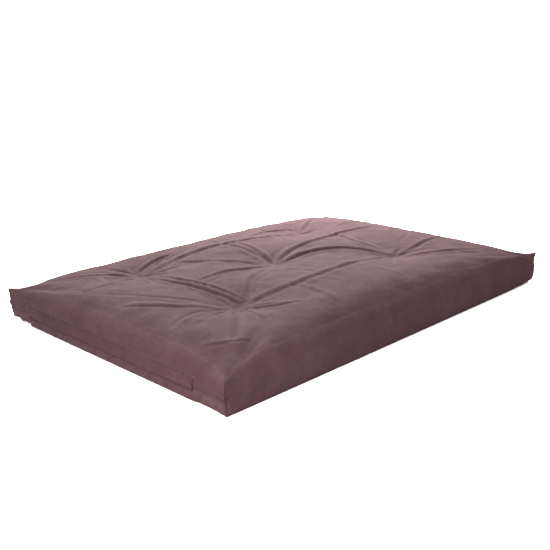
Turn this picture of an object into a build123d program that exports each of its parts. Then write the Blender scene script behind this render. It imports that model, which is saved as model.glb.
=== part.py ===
"""Pet cushion bed: a zipped cloth cover over a tufted pad filled with fibre.

Millimetres, +Z up.  The origin is on the floor under the middle of the bed.  +X runs along the
length, away from the end wall that holds the zip, and +Y runs across the bed to its back.
"""

import os
from math import sqrt

from build123d import *

os.makedirs("parts", exist_ok=True)

# ---- The whole bed -------------------------------------------------------------------------
LENGTH = 1160.0  # over the zip flap at one end and the plain wall at the other
WIDTH = 756.0
CROWN_HEIGHT = 116.0  # floor to the top of the crown, at the middle
END_FALL = 28.0  # how much lower the top is at the end walls than at the middle
TOP_ROUND = 24.0  # soft shoulder where the top turns down into the walls
BOTTOM_ROUND = 16.0
CORNER_MARGIN = 2.0  # the upright corners are rounder than the shoulder by this much

# ---- Cloth and pad -------------------------------------------------------------------------
CLOTH = 1.0
TICKING = 0.8
SKIN_GAP = 0.3  # between one soft layer and the next
PAD_EASE = 8.0  # room round the pad's walls, where the seam edges and the zip's back lie
SEAM_ALLOWANCE = 10.0
ALLOWANCE_LAYERS = 2
WALL_SEAM_Z = 36.0  # height of the seam that goes round the walls
THREAD = 0.8
PAD_SEAM_Z = 52.0
LABEL_WIDTH = 45.0
LABEL_DROP = 16.0
LABEL_THICK = 0.3
LABEL_Y = 215.0

# ---- Tufts ---------------------------------------------------------------------------------
TUFT_CENTRE_X = -35.0
TUFT_CENTRE_Y = 28.0
TUFT_HALF_SPAN_X = 300.0
TUFT_HALF_SPAN_Y = 182.0
TUFT_DROP = 32.0  # crown down to the floor of a tuft's well
TUFT_LIFT = 6.0  # underside up to the floor of the small well below it
WELL_RADIUS = 14.0
WASHER_RADIUS = 11.0
WASHER_THICK = 1.6
TIE_RADIUS = 1.2
TIE_CLEARANCE = 0.1

# ---- Zip -----------------------------------------------------------------------------------
ZIP_FROM_FRONT = 102.0  # front wall to the closed end of the zip
ZIP_FROM_BACK = 78.0
CHAIN_Z = 37.5
TAPE_THICK = 0.6
TAPE_WIDTH = 13.0
TAPE_EDGE = 1.5  # tape's woven edge, from the middle of the chain
TAPE_TAIL = 9.0  # how far the tape runs on past the window in the wall
COIL_INNER = 1.4  # coil's inner face, from the middle of the chain
COIL_WIDTH = 1.6
COIL_THICK = 2.0
WINDOW_CLEARANCE = 0.4
STITCH_MARGIN = 2.3
STITCH = 0.5
STOP_LENGTH = 2.5
STOP_INSET = 2.0
STOP_HEIGHT = 2.4
TACK_WIDTH = 1.6
TACK_OFFSET = 3.0

SLIDER_LENGTH = 12.0
SLIDER_HALF_WIDTH = 4.8
SLIDER_PLATE = 1.0
SLIDE_CLEARANCE = 0.2
FLANGE_INNER = 3.4
DIAMOND_HALF_WIDTH = 1.2
DIAMOND_LENGTH = 3.0
BRIDGE_LENGTH = 7.0
BRIDGE_HALF_WIDTH = 1.0
BRIDGE_WALL = 0.6
PULL_THICK = 1.2
PULL_HALF_WIDTH = 3.5
PULL_LENGTH = 20.0
PULL_EYE_LENGTH = 5.0
PULL_ARM = 1.6
PULL_END_ROUND = 3.0
PIVOT_CLEARANCE = 0.2

# ---- Flap over the zip ---------------------------------------------------------------------
FLAP_THICK = 1.6
FLAP_OVERRUN = 8.0  # how far the flap runs past each end of the window
FLAP_LIP_Z = 30.0
FLAP_HINGE_Z = 52.0
FLAP_CLEARANCE = 2.0  # bridge of the slider to the lip of the flap
HINGE_GAP = 0.3
TOPSTITCH_RISE = 2.5

# ---- Worked out from the sizes above -------------------------------------------------------
# "out" distances are measured from the inner face of the zip wall, outwards.
PLATE_IN = COIL_THICK + SLIDE_CLEARANCE
PLATE_OUT = PLATE_IN + SLIDER_PLATE
PULL_AXIS_OUT = PLATE_OUT + PIVOT_CLEARANCE + PULL_THICK / 2
BRIDGE_IN = PULL_AXIS_OUT + PULL_THICK / 2 + PIVOT_CLEARANCE
BRIDGE_OUT = BRIDGE_IN + BRIDGE_WALL
LIP_OUT = BRIDGE_OUT + FLAP_CLEARANCE + FLAP_THICK / 2
FLAP_OUT = LIP_OUT + FLAP_THICK / 2
HINGE_OUT = CLOTH + HINGE_GAP + FLAP_THICK / 2

WALL_INNER_X = -LENGTH / 2 + FLAP_OUT
COVER_LENGTH = LENGTH - (FLAP_OUT - CLOTH)
COVER_X = LENGTH / 2 - COVER_LENGTH / 2
CORNER_ROUND = TOP_ROUND + CORNER_MARGIN
PAD_SKIN = CLOTH + SKIN_GAP
ZIP_START_Y = ZIP_FROM_FRONT - WIDTH / 2
ZIP_END_Y = WIDTH / 2 - ZIP_FROM_BACK
ZIP_LENGTH = ZIP_END_Y - ZIP_START_Y
WINDOW_HALF = SLIDER_HALF_WIDTH + WINDOW_CLEARANCE
COIL_START_Y = ZIP_START_Y + STOP_INSET + STOP_LENGTH
COIL_END_Y = ZIP_END_Y - STOP_INSET - STOP_LENGTH
SLIDER_START_Y = COIL_START_Y + SLIDE_CLEARANCE
SLIDER_TRAVEL = COIL_END_Y - SLIDE_CLEARANCE - SLIDER_LENGTH - SLIDER_START_Y
PULL_AXIS_Y = SLIDER_START_Y + SLIDER_LENGTH / 2
CROWN_RADIUS = ((COVER_LENGTH / 2) ** 2 + END_FALL**2) / (2 * END_FALL)
CORNER_TOP = CROWN_HEIGHT - CROWN_RADIUS + sqrt(
    CROWN_RADIUS**2 - (COVER_LENGTH / 2) ** 2 - (WIDTH / 2) ** 2
)

TUFTS = {
    "middle": (TUFT_CENTRE_X, TUFT_CENTRE_Y),
    "front_left": (TUFT_CENTRE_X - TUFT_HALF_SPAN_X, TUFT_CENTRE_Y - TUFT_HALF_SPAN_Y),
    "front_right": (TUFT_CENTRE_X + TUFT_HALF_SPAN_X, TUFT_CENTRE_Y - TUFT_HALF_SPAN_Y),
    "back_left": (TUFT_CENTRE_X - TUFT_HALF_SPAN_X, TUFT_CENTRE_Y + TUFT_HALF_SPAN_Y),
    "back_right": (TUFT_CENTRE_X + TUFT_HALF_SPAN_X, TUFT_CENTRE_Y + TUFT_HALF_SPAN_Y),
}


def save(piece, name):
    """Name the finished piece and write it."""
    piece.label = name
    export_step(piece, f"parts/{name}.step")


def cushion_blank(inset, side_ease=0.0):
    """Crowned block with soft edges: the cover's outer shape, moved in by the inset.

    The top is part of a ball, so each inset shape is an exact offset of the first.  The ball's
    poles point along Y, which keeps its seam away from the top.
    """
    with BuildPart() as blank:
        with BuildSketch(Plane.XY.offset(inset)):
            with Locations((COVER_X, 0)):
                RectangleRounded(
                    COVER_LENGTH - 2 * (inset + side_ease),
                    WIDTH - 2 * (inset + side_ease),
                    CORNER_ROUND - inset,
                )
        extrude(amount=CROWN_HEIGHT)
        with Locations((COVER_X, 0, CROWN_HEIGHT - CROWN_RADIUS)):
            Sphere(CROWN_RADIUS - inset, rotation=(90, 0, 0), mode=Mode.INTERSECT)
        fillet(blank.faces().sort_by(Axis.Z)[-1].edges(), TOP_ROUND - inset)
        fillet(blank.faces().sort_by(Axis.Z)[0].edges(), BOTTOM_ROUND - inset)
    return blank.part


def pad_blank(layer):
    """Pad's outer shape moved in by a layer, with a round well above and below at each tuft."""
    block = cushion_blank(PAD_SKIN + layer, PAD_EASE)
    with BuildPart() as pad:
        add(block)
        with BuildSketch(Plane.XY.offset(CROWN_HEIGHT - TUFT_DROP - layer)):
            with Locations(*TUFTS.values()):
                Circle(WELL_RADIUS + layer)
        extrude(amount=CROWN_HEIGHT, mode=Mode.SUBTRACT)
        with BuildSketch(Plane.XY.offset(PAD_SKIN + TUFT_LIFT + layer)):
            with Locations(*TUFTS.values()):
                Circle(WELL_RADIUS + layer)
        extrude(amount=-CROWN_HEIGHT, mode=Mode.SUBTRACT)
    return pad.part


def zip_wall_plane(y):
    """Section plane across the zip wall: its x is the distance out, its y is the height."""
    return Plane(origin=(WALL_INNER_X, y, 0), x_dir=(-1, 0, 0), z_dir=(0, 1, 0))


def zip_bar(out_low, out_high, z_low, z_high):
    """Rectangle in a section across the zip wall, inside an open sketch."""
    with Locations(((out_low + out_high) / 2, (z_low + z_high) / 2)):
        Rectangle(out_high - out_low, z_high - z_low)


def washer_set(level):
    """One washer round each tie, standing on this level."""
    with BuildPart() as washers:
        with BuildSketch(Plane.XY.offset(level)):
            with Locations(*TUFTS.values()):
                Circle(WASHER_RADIUS)
                Circle(TIE_RADIUS + TIE_CLEARANCE, mode=Mode.SUBTRACT)
        extrude(amount=WASHER_THICK)
    return washers.part


# ---- Cover: one cloth, with its seam edges turned in -----------------------------------------
cover_outside = cushion_blank(0)
cover_inside = cushion_blank(CLOTH)
allowance_thick = ALLOWANCE_LAYERS * CLOTH
plain_wall_in_x = LENGTH / 2 - CLOTH
back_wall_in_y = WIDTH / 2 - CLOTH
straight_end_wall = WIDTH - 2 * CORNER_ROUND
straight_side_wall = COVER_LENGTH - 2 * CORNER_ROUND

with BuildPart() as cover_cloth:
    add(cover_outside)
    add(cover_inside, mode=Mode.SUBTRACT)
    with BuildSketch(zip_wall_plane(ZIP_START_Y)):
        zip_bar(-CLOTH, 2 * CLOTH, CHAIN_Z - WINDOW_HALF, CHAIN_Z + WINDOW_HALF)
    extrude(amount=ZIP_LENGTH, mode=Mode.SUBTRACT)
    with BuildSketch(Plane.XY.offset(WALL_SEAM_Z)):
        with Locations((plain_wall_in_x - allowance_thick / 2, 0)):
            Rectangle(allowance_thick, straight_end_wall)
        with Locations((COVER_X, back_wall_in_y - allowance_thick / 2)):
            Rectangle(straight_side_wall, allowance_thick)
    extrude(amount=SEAM_ALLOWANCE)
save(cover_cloth.part, "cover_cloth")

# ---- Overlock threads that close the turned-in seam edges ------------------------------------
with BuildPart() as end_seam_thread:
    with BuildSketch(Plane.XY.offset(WALL_SEAM_Z + SEAM_ALLOWANCE)):
        with Locations((plain_wall_in_x - allowance_thick / 2, 0)):
            Rectangle(allowance_thick, straight_end_wall)
    extrude(amount=THREAD)
save(end_seam_thread.part, "end_seam_thread")

with BuildPart() as back_seam_thread:
    with BuildSketch(Plane.XY.offset(WALL_SEAM_Z + SEAM_ALLOWANCE)):
        with Locations((COVER_X, back_wall_in_y - allowance_thick / 2)):
            Rectangle(straight_side_wall, allowance_thick)
    extrude(amount=THREAD)
save(back_seam_thread.part, "back_seam_thread")

# ---- Threads of the four upright corner seams ------------------------------------------------
corner_top_z = CORNER_TOP - TOP_ROUND
corner_reach = (CORNER_ROUND + THREAD / 2) / sqrt(2)
corner_signs = {
    "front_left": (-1, -1),
    "front_right": (1, -1),
    "back_left": (-1, 1),
    "back_right": (1, 1),
}
for corner, (sign_x, sign_y) in corner_signs.items():
    corner_x = COVER_X + sign_x * (COVER_LENGTH / 2 - CORNER_ROUND + corner_reach)
    corner_y = sign_y * (WIDTH / 2 - CORNER_ROUND + corner_reach)
    with BuildPart() as corner_seam_thread:
        with BuildSketch(Plane.XY.offset(BOTTOM_ROUND)):
            with Locations((corner_x, corner_y)):
                Circle(THREAD / 2)
        extrude(amount=corner_top_z - BOTTOM_ROUND)
    save(corner_seam_thread.part, f"corner_seam_thread_{corner}")

# ---- Blank care label, caught in the end seam inside the cover -------------------------------
label_out_x = plain_wall_in_x - allowance_thick
with BuildPart() as care_label:
    with BuildSketch(Plane.XY.offset(WALL_SEAM_Z + SEAM_ALLOWANCE - LABEL_DROP)):
        with Locations((label_out_x - LABEL_THICK / 2, LABEL_Y)):
            Rectangle(LABEL_THICK, LABEL_WIDTH)
    extrude(amount=LABEL_DROP)
save(care_label.part, "care_label")

# ---- Pad: two panels of ticking, the seam between them, and the fibre -------------------------
pad_outside = pad_blank(0)
pad_inside = pad_blank(TICKING)
fibre_outside = pad_blank(TICKING + SKIN_GAP)
pad_seam_outside = cushion_blank(PAD_SKIN, PAD_EASE - THREAD)
pad_seam_inside = cushion_blank(PAD_SKIN, PAD_EASE)
tie_hole = TIE_RADIUS + TIE_CLEARANCE

for panel, kept_side in (("top", Keep.TOP), ("bottom", Keep.BOTTOM)):
    with BuildPart() as pad_ticking:
        add(pad_outside)
        add(pad_inside, mode=Mode.SUBTRACT)
        with BuildSketch():
            with Locations(*TUFTS.values()):
                Circle(tie_hole)
        extrude(amount=CROWN_HEIGHT, mode=Mode.SUBTRACT)
        split(bisect_by=Plane.XY.offset(PAD_SEAM_Z), keep=kept_side)
    save(pad_ticking.part, f"pad_ticking_{panel}")

with BuildPart() as pad_seam_thread:
    add(pad_seam_outside)
    add(pad_seam_inside, mode=Mode.SUBTRACT)
    split(bisect_by=Plane.XY.offset(PAD_SEAM_Z - THREAD / 2), keep=Keep.TOP)
    split(bisect_by=Plane.XY.offset(PAD_SEAM_Z + THREAD / 2), keep=Keep.BOTTOM)
save(pad_seam_thread.part, "pad_seam_thread")

with BuildPart() as fibre_fill:
    add(fibre_outside)
    with BuildSketch():
        with Locations(*TUFTS.values()):
            Circle(tie_hole)
    extrude(amount=CROWN_HEIGHT, mode=Mode.SUBTRACT)
save(fibre_fill.part, "fibre_fill")

# ---- Tufts: a tie from cloth to cloth, and a felt washer in each well -------------------------
for place, point in TUFTS.items():
    with BuildPart() as tuft_tie:
        with BuildSketch():
            with Locations(point):
                Circle(TIE_RADIUS)
        extrude(amount=CROWN_HEIGHT)
        add(cover_inside, mode=Mode.INTERSECT)
    save(tuft_tie.part, f"tuft_tie_{place}")

upper_washers = washer_set(CROWN_HEIGHT - TUFT_DROP)
save(upper_washers, "tuft_washers_top")
lower_washers = washer_set(PAD_SKIN + TUFT_LIFT - WASHER_THICK)
save(lower_washers, "tuft_washers_bottom")

# ---- Zip tapes and coils ---------------------------------------------------------------------
for half, side in (("upper", 1), ("lower", -1)):
    tape_edges = sorted(CHAIN_Z + side * reach for reach in (TAPE_EDGE, TAPE_EDGE + TAPE_WIDTH))
    coil_edges = sorted(CHAIN_Z + side * reach for reach in (COIL_INNER, COIL_INNER + COIL_WIDTH))
    with BuildPart() as zip_tape:
        with BuildSketch(zip_wall_plane(ZIP_START_Y - TAPE_TAIL)):
            zip_bar(-TAPE_THICK, 0, *tape_edges)
        extrude(amount=ZIP_LENGTH + 2 * TAPE_TAIL)
    save(zip_tape.part, f"zip_tape_{half}")

    with BuildPart() as zip_coil:
        with BuildSketch(zip_wall_plane(COIL_START_Y)):
            zip_bar(0, COIL_THICK, *coil_edges)
        extrude(amount=COIL_END_Y - COIL_START_Y)
    save(zip_coil.part, f"zip_coil_{half}")

# ---- Stops at both ends of the chain ---------------------------------------------------------
coil_outer = COIL_INNER + COIL_WIDTH
with BuildPart() as zip_top_stops:
    with BuildSketch(zip_wall_plane(ZIP_START_Y + STOP_INSET)):
        zip_bar(0, STOP_HEIGHT, CHAIN_Z + TAPE_EDGE, CHAIN_Z + coil_outer)
        zip_bar(0, STOP_HEIGHT, CHAIN_Z - coil_outer, CHAIN_Z - TAPE_EDGE)
    extrude(amount=STOP_LENGTH)
save(zip_top_stops.part, "zip_top_stops")

with BuildPart() as zip_bottom_stop:
    with BuildSketch(zip_wall_plane(COIL_END_Y)):
        zip_bar(0, STOP_HEIGHT, CHAIN_Z - coil_outer, CHAIN_Z + coil_outer)
    extrude(amount=STOP_LENGTH)
save(zip_bottom_stop.part, "zip_bottom_stop")

# ---- Stitching that holds the zip: a row each side, a tack at each end, a row over the flap ----
stitch_reach = WINDOW_HALF + STITCH_MARGIN
with BuildPart() as zip_stitching:
    with BuildSketch(zip_wall_plane(ZIP_START_Y)):
        for row_z in (CHAIN_Z - stitch_reach, CHAIN_Z + stitch_reach):
            zip_bar(CLOTH, CLOTH + STITCH, row_z - STITCH / 2, row_z + STITCH / 2)
    extrude(amount=ZIP_LENGTH)
save(zip_stitching.part, "zip_stitching")

with BuildPart() as zip_end_tacks:
    for tack_y in (ZIP_START_Y - TACK_OFFSET - TACK_WIDTH, ZIP_END_Y + TACK_OFFSET):
        with BuildSketch(zip_wall_plane(tack_y)):
            zip_bar(CLOTH, CLOTH + STITCH, CHAIN_Z - stitch_reach, CHAIN_Z + stitch_reach)
        extrude(amount=TACK_WIDTH)
save(zip_end_tacks.part, "zip_end_tacks")

flap_start_y = ZIP_START_Y - FLAP_OVERRUN
flap_length = ZIP_LENGTH + 2 * FLAP_OVERRUN
topstitch_z = FLAP_HINGE_Z + TOPSTITCH_RISE
with BuildPart() as flap_topstitching:
    with BuildSketch(zip_wall_plane(flap_start_y)):
        zip_bar(CLOTH, CLOTH + STITCH, topstitch_z - STITCH / 2, topstitch_z + STITCH / 2)
    extrude(amount=flap_length)
save(flap_topstitching.part, "flap_topstitching")

# ---- Flap: a folded facing that bows out over the zip and hangs from its sewn top edge --------
flap_drop = FLAP_HINGE_Z - FLAP_LIP_Z
flap_swell = LIP_OUT - HINGE_OUT
flap_radius = (flap_drop**2 + flap_swell**2) / (2 * flap_swell)
with BuildPart() as zip_flap:
    with BuildSketch(zip_wall_plane(flap_start_y)):
        with BuildLine():
            flap_curve = RadiusArc(
                (HINGE_OUT, FLAP_HINGE_Z), (LIP_OUT, FLAP_LIP_Z), flap_radius
            )
        trace(lines=flap_curve, line_width=FLAP_THICK)
        with Locations((HINGE_OUT, FLAP_HINGE_Z)):
            Circle(FLAP_THICK / 2)
    extrude(amount=flap_length)
save(zip_flap.part, "zip_flap")

# ---- Slider: two plates joined by a diamond, flanges for the coils, a bridge for the pull -----
plate_low = CHAIN_Z - SLIDER_HALF_WIDTH
plate_high = CHAIN_Z + SLIDER_HALF_WIDTH
back_plate_out = -TAPE_THICK - SLIDE_CLEARANCE
bridge_start_y = PULL_AXIS_Y - BRIDGE_LENGTH / 2
bridge_low = CHAIN_Z - BRIDGE_HALF_WIDTH
bridge_high = CHAIN_Z + BRIDGE_HALF_WIDTH
with BuildPart() as zip_slider:
    with BuildSketch(zip_wall_plane(SLIDER_START_Y)):
        zip_bar(PLATE_IN, PLATE_OUT, plate_low, plate_high)
        zip_bar(back_plate_out - SLIDER_PLATE, back_plate_out, plate_low, plate_high)
        zip_bar(SLIDE_CLEARANCE, PLATE_IN, plate_low, CHAIN_Z - FLANGE_INNER)
        zip_bar(SLIDE_CLEARANCE, PLATE_IN, CHAIN_Z + FLANGE_INNER, plate_high)
    extrude(amount=SLIDER_LENGTH)
    with BuildSketch(zip_wall_plane(SLIDER_START_Y)):
        zip_bar(
            back_plate_out, PLATE_IN, CHAIN_Z - DIAMOND_HALF_WIDTH, CHAIN_Z + DIAMOND_HALF_WIDTH
        )
    extrude(amount=DIAMOND_LENGTH)
    with BuildSketch(zip_wall_plane(bridge_start_y)):
        zip_bar(PLATE_OUT, BRIDGE_OUT, bridge_low, bridge_high)
    extrude(amount=BRIDGE_LENGTH)
    with BuildSketch(zip_wall_plane(bridge_start_y + BRIDGE_WALL)):
        zip_bar(PLATE_OUT, BRIDGE_IN, bridge_low, bridge_high)
    extrude(amount=BRIDGE_LENGTH - 2 * BRIDGE_WALL, mode=Mode.SUBTRACT)
save(zip_slider.part, "zip_slider")

# ---- Pull: a tab with an eye, whose round end bar turns under the slider's bridge --------------
pull_plane = Plane(
    origin=(WALL_INNER_X - PULL_AXIS_OUT + PULL_THICK / 2, PULL_AXIS_Y, CHAIN_Z),
    x_dir=(0, 1, 0),
    z_dir=(-1, 0, 0),
)
bar_plane = Plane(
    origin=(WALL_INNER_X - PULL_AXIS_OUT, PULL_AXIS_Y, CHAIN_Z - PULL_HALF_WIDTH),
    x_dir=(1, 0, 0),
    z_dir=(0, 0, 1),
)
with BuildPart() as zip_pull:
    with BuildSketch(pull_plane) as tab:
        with Locations((PULL_LENGTH / 2, 0)):
            Rectangle(PULL_LENGTH, 2 * PULL_HALF_WIDTH)
        fillet(tab.vertices().group_by(Axis.X)[-1], PULL_END_ROUND)
        with Locations((PULL_EYE_LENGTH / 2, 0)):
            Rectangle(PULL_EYE_LENGTH, 2 * (PULL_HALF_WIDTH - PULL_ARM), mode=Mode.SUBTRACT)
    extrude(amount=PULL_THICK)
    with BuildSketch(bar_plane):
        Circle(PULL_THICK / 2)
    extrude(amount=2 * PULL_HALF_WIDTH)
save(zip_pull.part, "zip_pull")

print("zip wall, inner face x", WALL_INNER_X)
print("flap hinge x, z", WALL_INNER_X - HINGE_OUT, FLAP_HINGE_Z)
print("pull axis x, y", WALL_INNER_X - PULL_AXIS_OUT, PULL_AXIS_Y)
print("slider travel", SLIDER_TRAVEL)
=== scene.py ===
# %% [markdown]
# # A pet cushion bed
# The bed is a canvas cover with a hidden zip over a tufted pad of loose fibre.  The packed
# model gives every hard size and every moving body.  This notebook makes the cloth around it.

# %% Load the frame
import math

import bmesh
import bpy
import numpy as np
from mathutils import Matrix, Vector


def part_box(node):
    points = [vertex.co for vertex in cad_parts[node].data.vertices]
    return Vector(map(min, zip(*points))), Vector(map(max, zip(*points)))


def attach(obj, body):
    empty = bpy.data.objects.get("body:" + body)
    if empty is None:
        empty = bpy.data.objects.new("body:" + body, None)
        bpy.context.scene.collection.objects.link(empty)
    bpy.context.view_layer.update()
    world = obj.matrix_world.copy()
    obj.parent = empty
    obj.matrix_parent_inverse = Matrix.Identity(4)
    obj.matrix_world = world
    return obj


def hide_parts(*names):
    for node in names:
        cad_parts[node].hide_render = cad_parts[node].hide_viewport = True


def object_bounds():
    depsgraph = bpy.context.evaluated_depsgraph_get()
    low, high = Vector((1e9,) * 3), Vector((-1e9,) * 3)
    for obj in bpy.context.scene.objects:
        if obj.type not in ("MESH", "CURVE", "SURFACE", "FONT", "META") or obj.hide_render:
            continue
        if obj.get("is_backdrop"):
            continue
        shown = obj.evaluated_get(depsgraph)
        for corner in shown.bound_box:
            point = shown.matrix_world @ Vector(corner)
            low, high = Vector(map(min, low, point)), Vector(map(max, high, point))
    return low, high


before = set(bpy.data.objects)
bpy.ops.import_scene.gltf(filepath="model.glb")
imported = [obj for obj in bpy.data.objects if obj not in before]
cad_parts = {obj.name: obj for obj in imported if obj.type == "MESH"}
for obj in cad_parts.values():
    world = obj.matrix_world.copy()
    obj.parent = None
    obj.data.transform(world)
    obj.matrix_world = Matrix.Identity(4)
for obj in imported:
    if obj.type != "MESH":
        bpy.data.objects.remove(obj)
cad_low, cad_high = (np.array(corner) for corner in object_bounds())
print("bed measures", np.round(cad_high - cad_low, 4))

# %% [markdown]
# ## The camera
# A long lens stands beyond the front left corner and looks down at the bed by about 17
# degrees.  Its place is given in bed lengths from that corner, so it follows the bed's size.

# %% Camera
LENS_MM = 55.4
CAMERA_REACH = Vector((-0.8114, -0.8917, 0.6085))
CAMERA_AIM = Vector((0.6879, 0.6627, -0.2943))

bed_length = cad_high[0] - cad_low[0]
front_left = Vector((cad_low[0], cad_low[1], cad_low[2]))
camera_data = bpy.data.cameras.new("camera")
camera_data.lens = LENS_MM
camera = bpy.data.objects.new("camera", camera_data)
bpy.context.scene.collection.objects.link(camera)
camera.location = front_left + CAMERA_REACH * bed_length
camera.rotation_euler = CAMERA_AIM.to_track_quat("-Z", "Y").to_euler()
bpy.context.scene.camera = camera
print("camera at", [round(value, 3) for value in camera.location])

# %% [markdown]
# ## Floor and light
# A white studio sweep needs a floor that is brighter than the film can hold, yet one that
# doesn't flood the bed's dark sides with bounced light.  So the floor shows the camera a
# brighter paint than the one that it bounces light with.  One wide, soft light stands behind
# the bed's far corner, close enough that the far end is clearly brighter than the near one.
# A harder, low light from the same side rakes over the top and brings the creases out.
# It leaves both near sides in shade.  A weak light above the front left corner and a dim sky
# fill the rest.

# %% Floor, sky and lights
FLOOR_HALF = 30.0
FLOOR_SEEN = 5.0
FLOOR_BOUNCE = 0.72
SKY_SEEN = 1.3
SKY_FILL = 0.24
SOFTBOX_PLACE = Vector((0.68, 0.78, 0.48))
SOFTBOX_AIM = Vector((0.10, 0.10, 0.05))
SOFTBOX_SIZE = (1.3, 0.5)
SOFTBOX_WATTS = 21.5
TOP_STRENGTH = 1.18
FILL_PLACE = Vector((-1.70, -1.02, 0.72))
FILL_AIM = Vector((-0.55, -0.36, 0.02))
FILL_WATTS = 14.0
TOP_SOFTNESS = math.radians(24)
TOP_FROM = Vector((0.28, 0.74, 0.50))


def light_path_split(tree, seen, bounced):
    """Socket that holds one value for the camera's rays and another for the light's."""
    path = tree.nodes.new("ShaderNodeLightPath")
    split = tree.nodes.new("ShaderNodeMapRange")
    split.inputs["To Min"].default_value = bounced
    split.inputs["To Max"].default_value = seen
    tree.links.new(path.outputs["Is Camera Ray"], split.inputs["Value"])
    return split.outputs["Result"]


floor_mesh = bpy.data.meshes.new("floor")
floor_corners = [(-FLOOR_HALF, -FLOOR_HALF, 0), (FLOOR_HALF, -FLOOR_HALF, 0)]
floor_corners += [(FLOOR_HALF, FLOOR_HALF, 0), (-FLOOR_HALF, FLOOR_HALF, 0)]
floor_mesh.from_pydata(floor_corners, [], [(0, 1, 2, 3)])
floor = bpy.data.objects.new("floor", floor_mesh)
bpy.context.scene.collection.objects.link(floor)
floor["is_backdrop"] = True
floor_paint = bpy.data.materials.new("floor_white")
floor_paint.use_nodes = True
floor_tree = floor_paint.node_tree
floor_tree.nodes.clear()
floor_out = floor_tree.nodes.new("ShaderNodeOutputMaterial")
floor_diffuse = floor_tree.nodes.new("ShaderNodeBsdfDiffuse")
floor_tree.links.new(
    light_path_split(floor_tree, FLOOR_SEEN, FLOOR_BOUNCE), floor_diffuse.inputs["Color"]
)
floor_tree.links.new(floor_diffuse.outputs["BSDF"], floor_out.inputs["Surface"])
floor_mesh.materials.append(floor_paint)

sky = bpy.data.worlds.new("sky")
bpy.context.scene.world = sky
sky.use_nodes = True
background = sky.node_tree.nodes["Background"]
background.inputs["Color"].default_value = (1.0, 0.99, 0.985, 1.0)
sky.node_tree.links.new(
    light_path_split(sky.node_tree, SKY_SEEN, SKY_FILL), background.inputs["Strength"]
)
bpy.context.scene.view_settings.view_transform = "Standard"


def add_light(name, kind, place, towards, colour, **settings):
    """A lamp at a place that faces a point, with its own settings."""
    data = bpy.data.lights.new(name, kind)
    data.color = colour
    for setting, value in settings.items():
        setattr(data, setting, value)
    lamp = bpy.data.objects.new(name, data)
    lamp.location = place
    lamp.rotation_euler = (place - towards).to_track_quat("Z", "Y").to_euler()
    bpy.context.scene.collection.objects.link(lamp)
    return lamp


add_light("softbox", "AREA", SOFTBOX_PLACE, SOFTBOX_AIM, (1.0, 0.98, 0.97), shape="RECTANGLE",
          size=SOFTBOX_SIZE[0], size_y=SOFTBOX_SIZE[1], energy=SOFTBOX_WATTS)
add_light("fill", "AREA", FILL_PLACE, FILL_AIM, (1.0, 0.97, 0.98), shape="RECTANGLE",
          size=0.9, size_y=0.7, energy=FILL_WATTS)
add_light("window", "SUN", TOP_FROM * 3, Vector((0, 0, 0)), (1.0, 0.99, 0.98),
          energy=TOP_STRENGTH, angle=TOP_SOFTNESS)
print("softbox stands", round((SOFTBOX_PLACE - SOFTBOX_AIM).length, 2), "m from the bed's middle")

# %% [markdown]
# ## Paint box
# Every finish is a small node tree.  These helpers add a node with its settings in one call,
# and start a material with its main shader.

# %% Node helpers


def add_node(tree, kind, inputs=None, **settings):
    """Add a node, set its own settings, then fill its inputs with values or links."""
    node = tree.nodes.new(kind)
    for name, value in settings.items():
        setattr(node, name, value)
    for name, value in (inputs or {}).items():
        if isinstance(value, bpy.types.NodeSocket):
            tree.links.new(value, node.inputs[name])
        else:
            node.inputs[name].default_value = value
    return node


def new_finish(name, **shader_values):
    """A material with a principled shader, and the values that are the same all over."""
    finish = bpy.data.materials.new(name)
    finish.use_nodes = True
    shader = finish.node_tree.nodes["Principled BSDF"]
    for socket, value in shader_values.items():
        shader.inputs[socket.replace("_", " ")].default_value = value
    return finish, finish.node_tree, shader


def rgba(red, green, blue):
    return (red, green, blue, 1.0)


# %% [markdown]
# ## Canvas
# The cover is a plain-woven, washed cotton canvas.  The weave is two sets of fine ridges
# that cross.  Each face takes the pair of axes that it lies along, so the weave needs no
# layout and stays true on the top and on every wall.
# Soft noise gives the uneven dye, and the value that the mesh carries, wear and painted light together,
# makes ridges a little paler and the bottoms of folds a little deeper, and holds the painted shadows and
# paler painted patches by the zip and at the foot of the front wall.

# %% Canvas finish
CANVAS_DEEP = rgba(0.098, 0.042, 0.050)
CANVAS_MID = rgba(0.198, 0.098, 0.110)
CANVAS_PALE = rgba(0.335, 0.195, 0.208)
THREADS_PER_METRE = 1500.0


def weave_height(tree, threads):
    """Height of a plain weave on whichever pair of axes the cloth faces, with no seams between."""
    place = add_node(tree, "ShaderNodeTexCoord")
    at = add_node(tree, "ShaderNodeSeparateXYZ", {"Vector": place.outputs["Object"]})
    facing = add_node(tree, "ShaderNodeSeparateXYZ", {"Vector": place.outputs["Normal"]})
    ridges, shares = {}, {}
    for axis in ("X", "Y", "Z"):
        turns = add_node(
            tree, "ShaderNodeMath", {0: at.outputs[axis], 1: threads * math.pi}, operation="MULTIPLY"
        )
        ridges[axis] = add_node(tree, "ShaderNodeMath", {0: turns.outputs[0]}, operation="SINE").outputs[0]
        shares[axis] = add_node(
            tree, "ShaderNodeMath", {0: facing.outputs[axis], 1: 2.0}, operation="POWER"
        ).outputs[0]
    total = None
    for axis, first, second in (("Z", "X", "Y"), ("X", "Y", "Z"), ("Y", "X", "Z")):
        crossed = add_node(tree, "ShaderNodeMath", {0: ridges[first], 1: ridges[second]},
                           operation="MULTIPLY")
        shared = add_node(tree, "ShaderNodeMath", {0: crossed.outputs[0], 1: shares[axis]},
                          operation="MULTIPLY").outputs[0]
        if total is None:
            total = shared
        else:
            total = add_node(tree, "ShaderNodeMath", {0: total, 1: shared}, operation="ADD").outputs[0]
    return total


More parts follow.
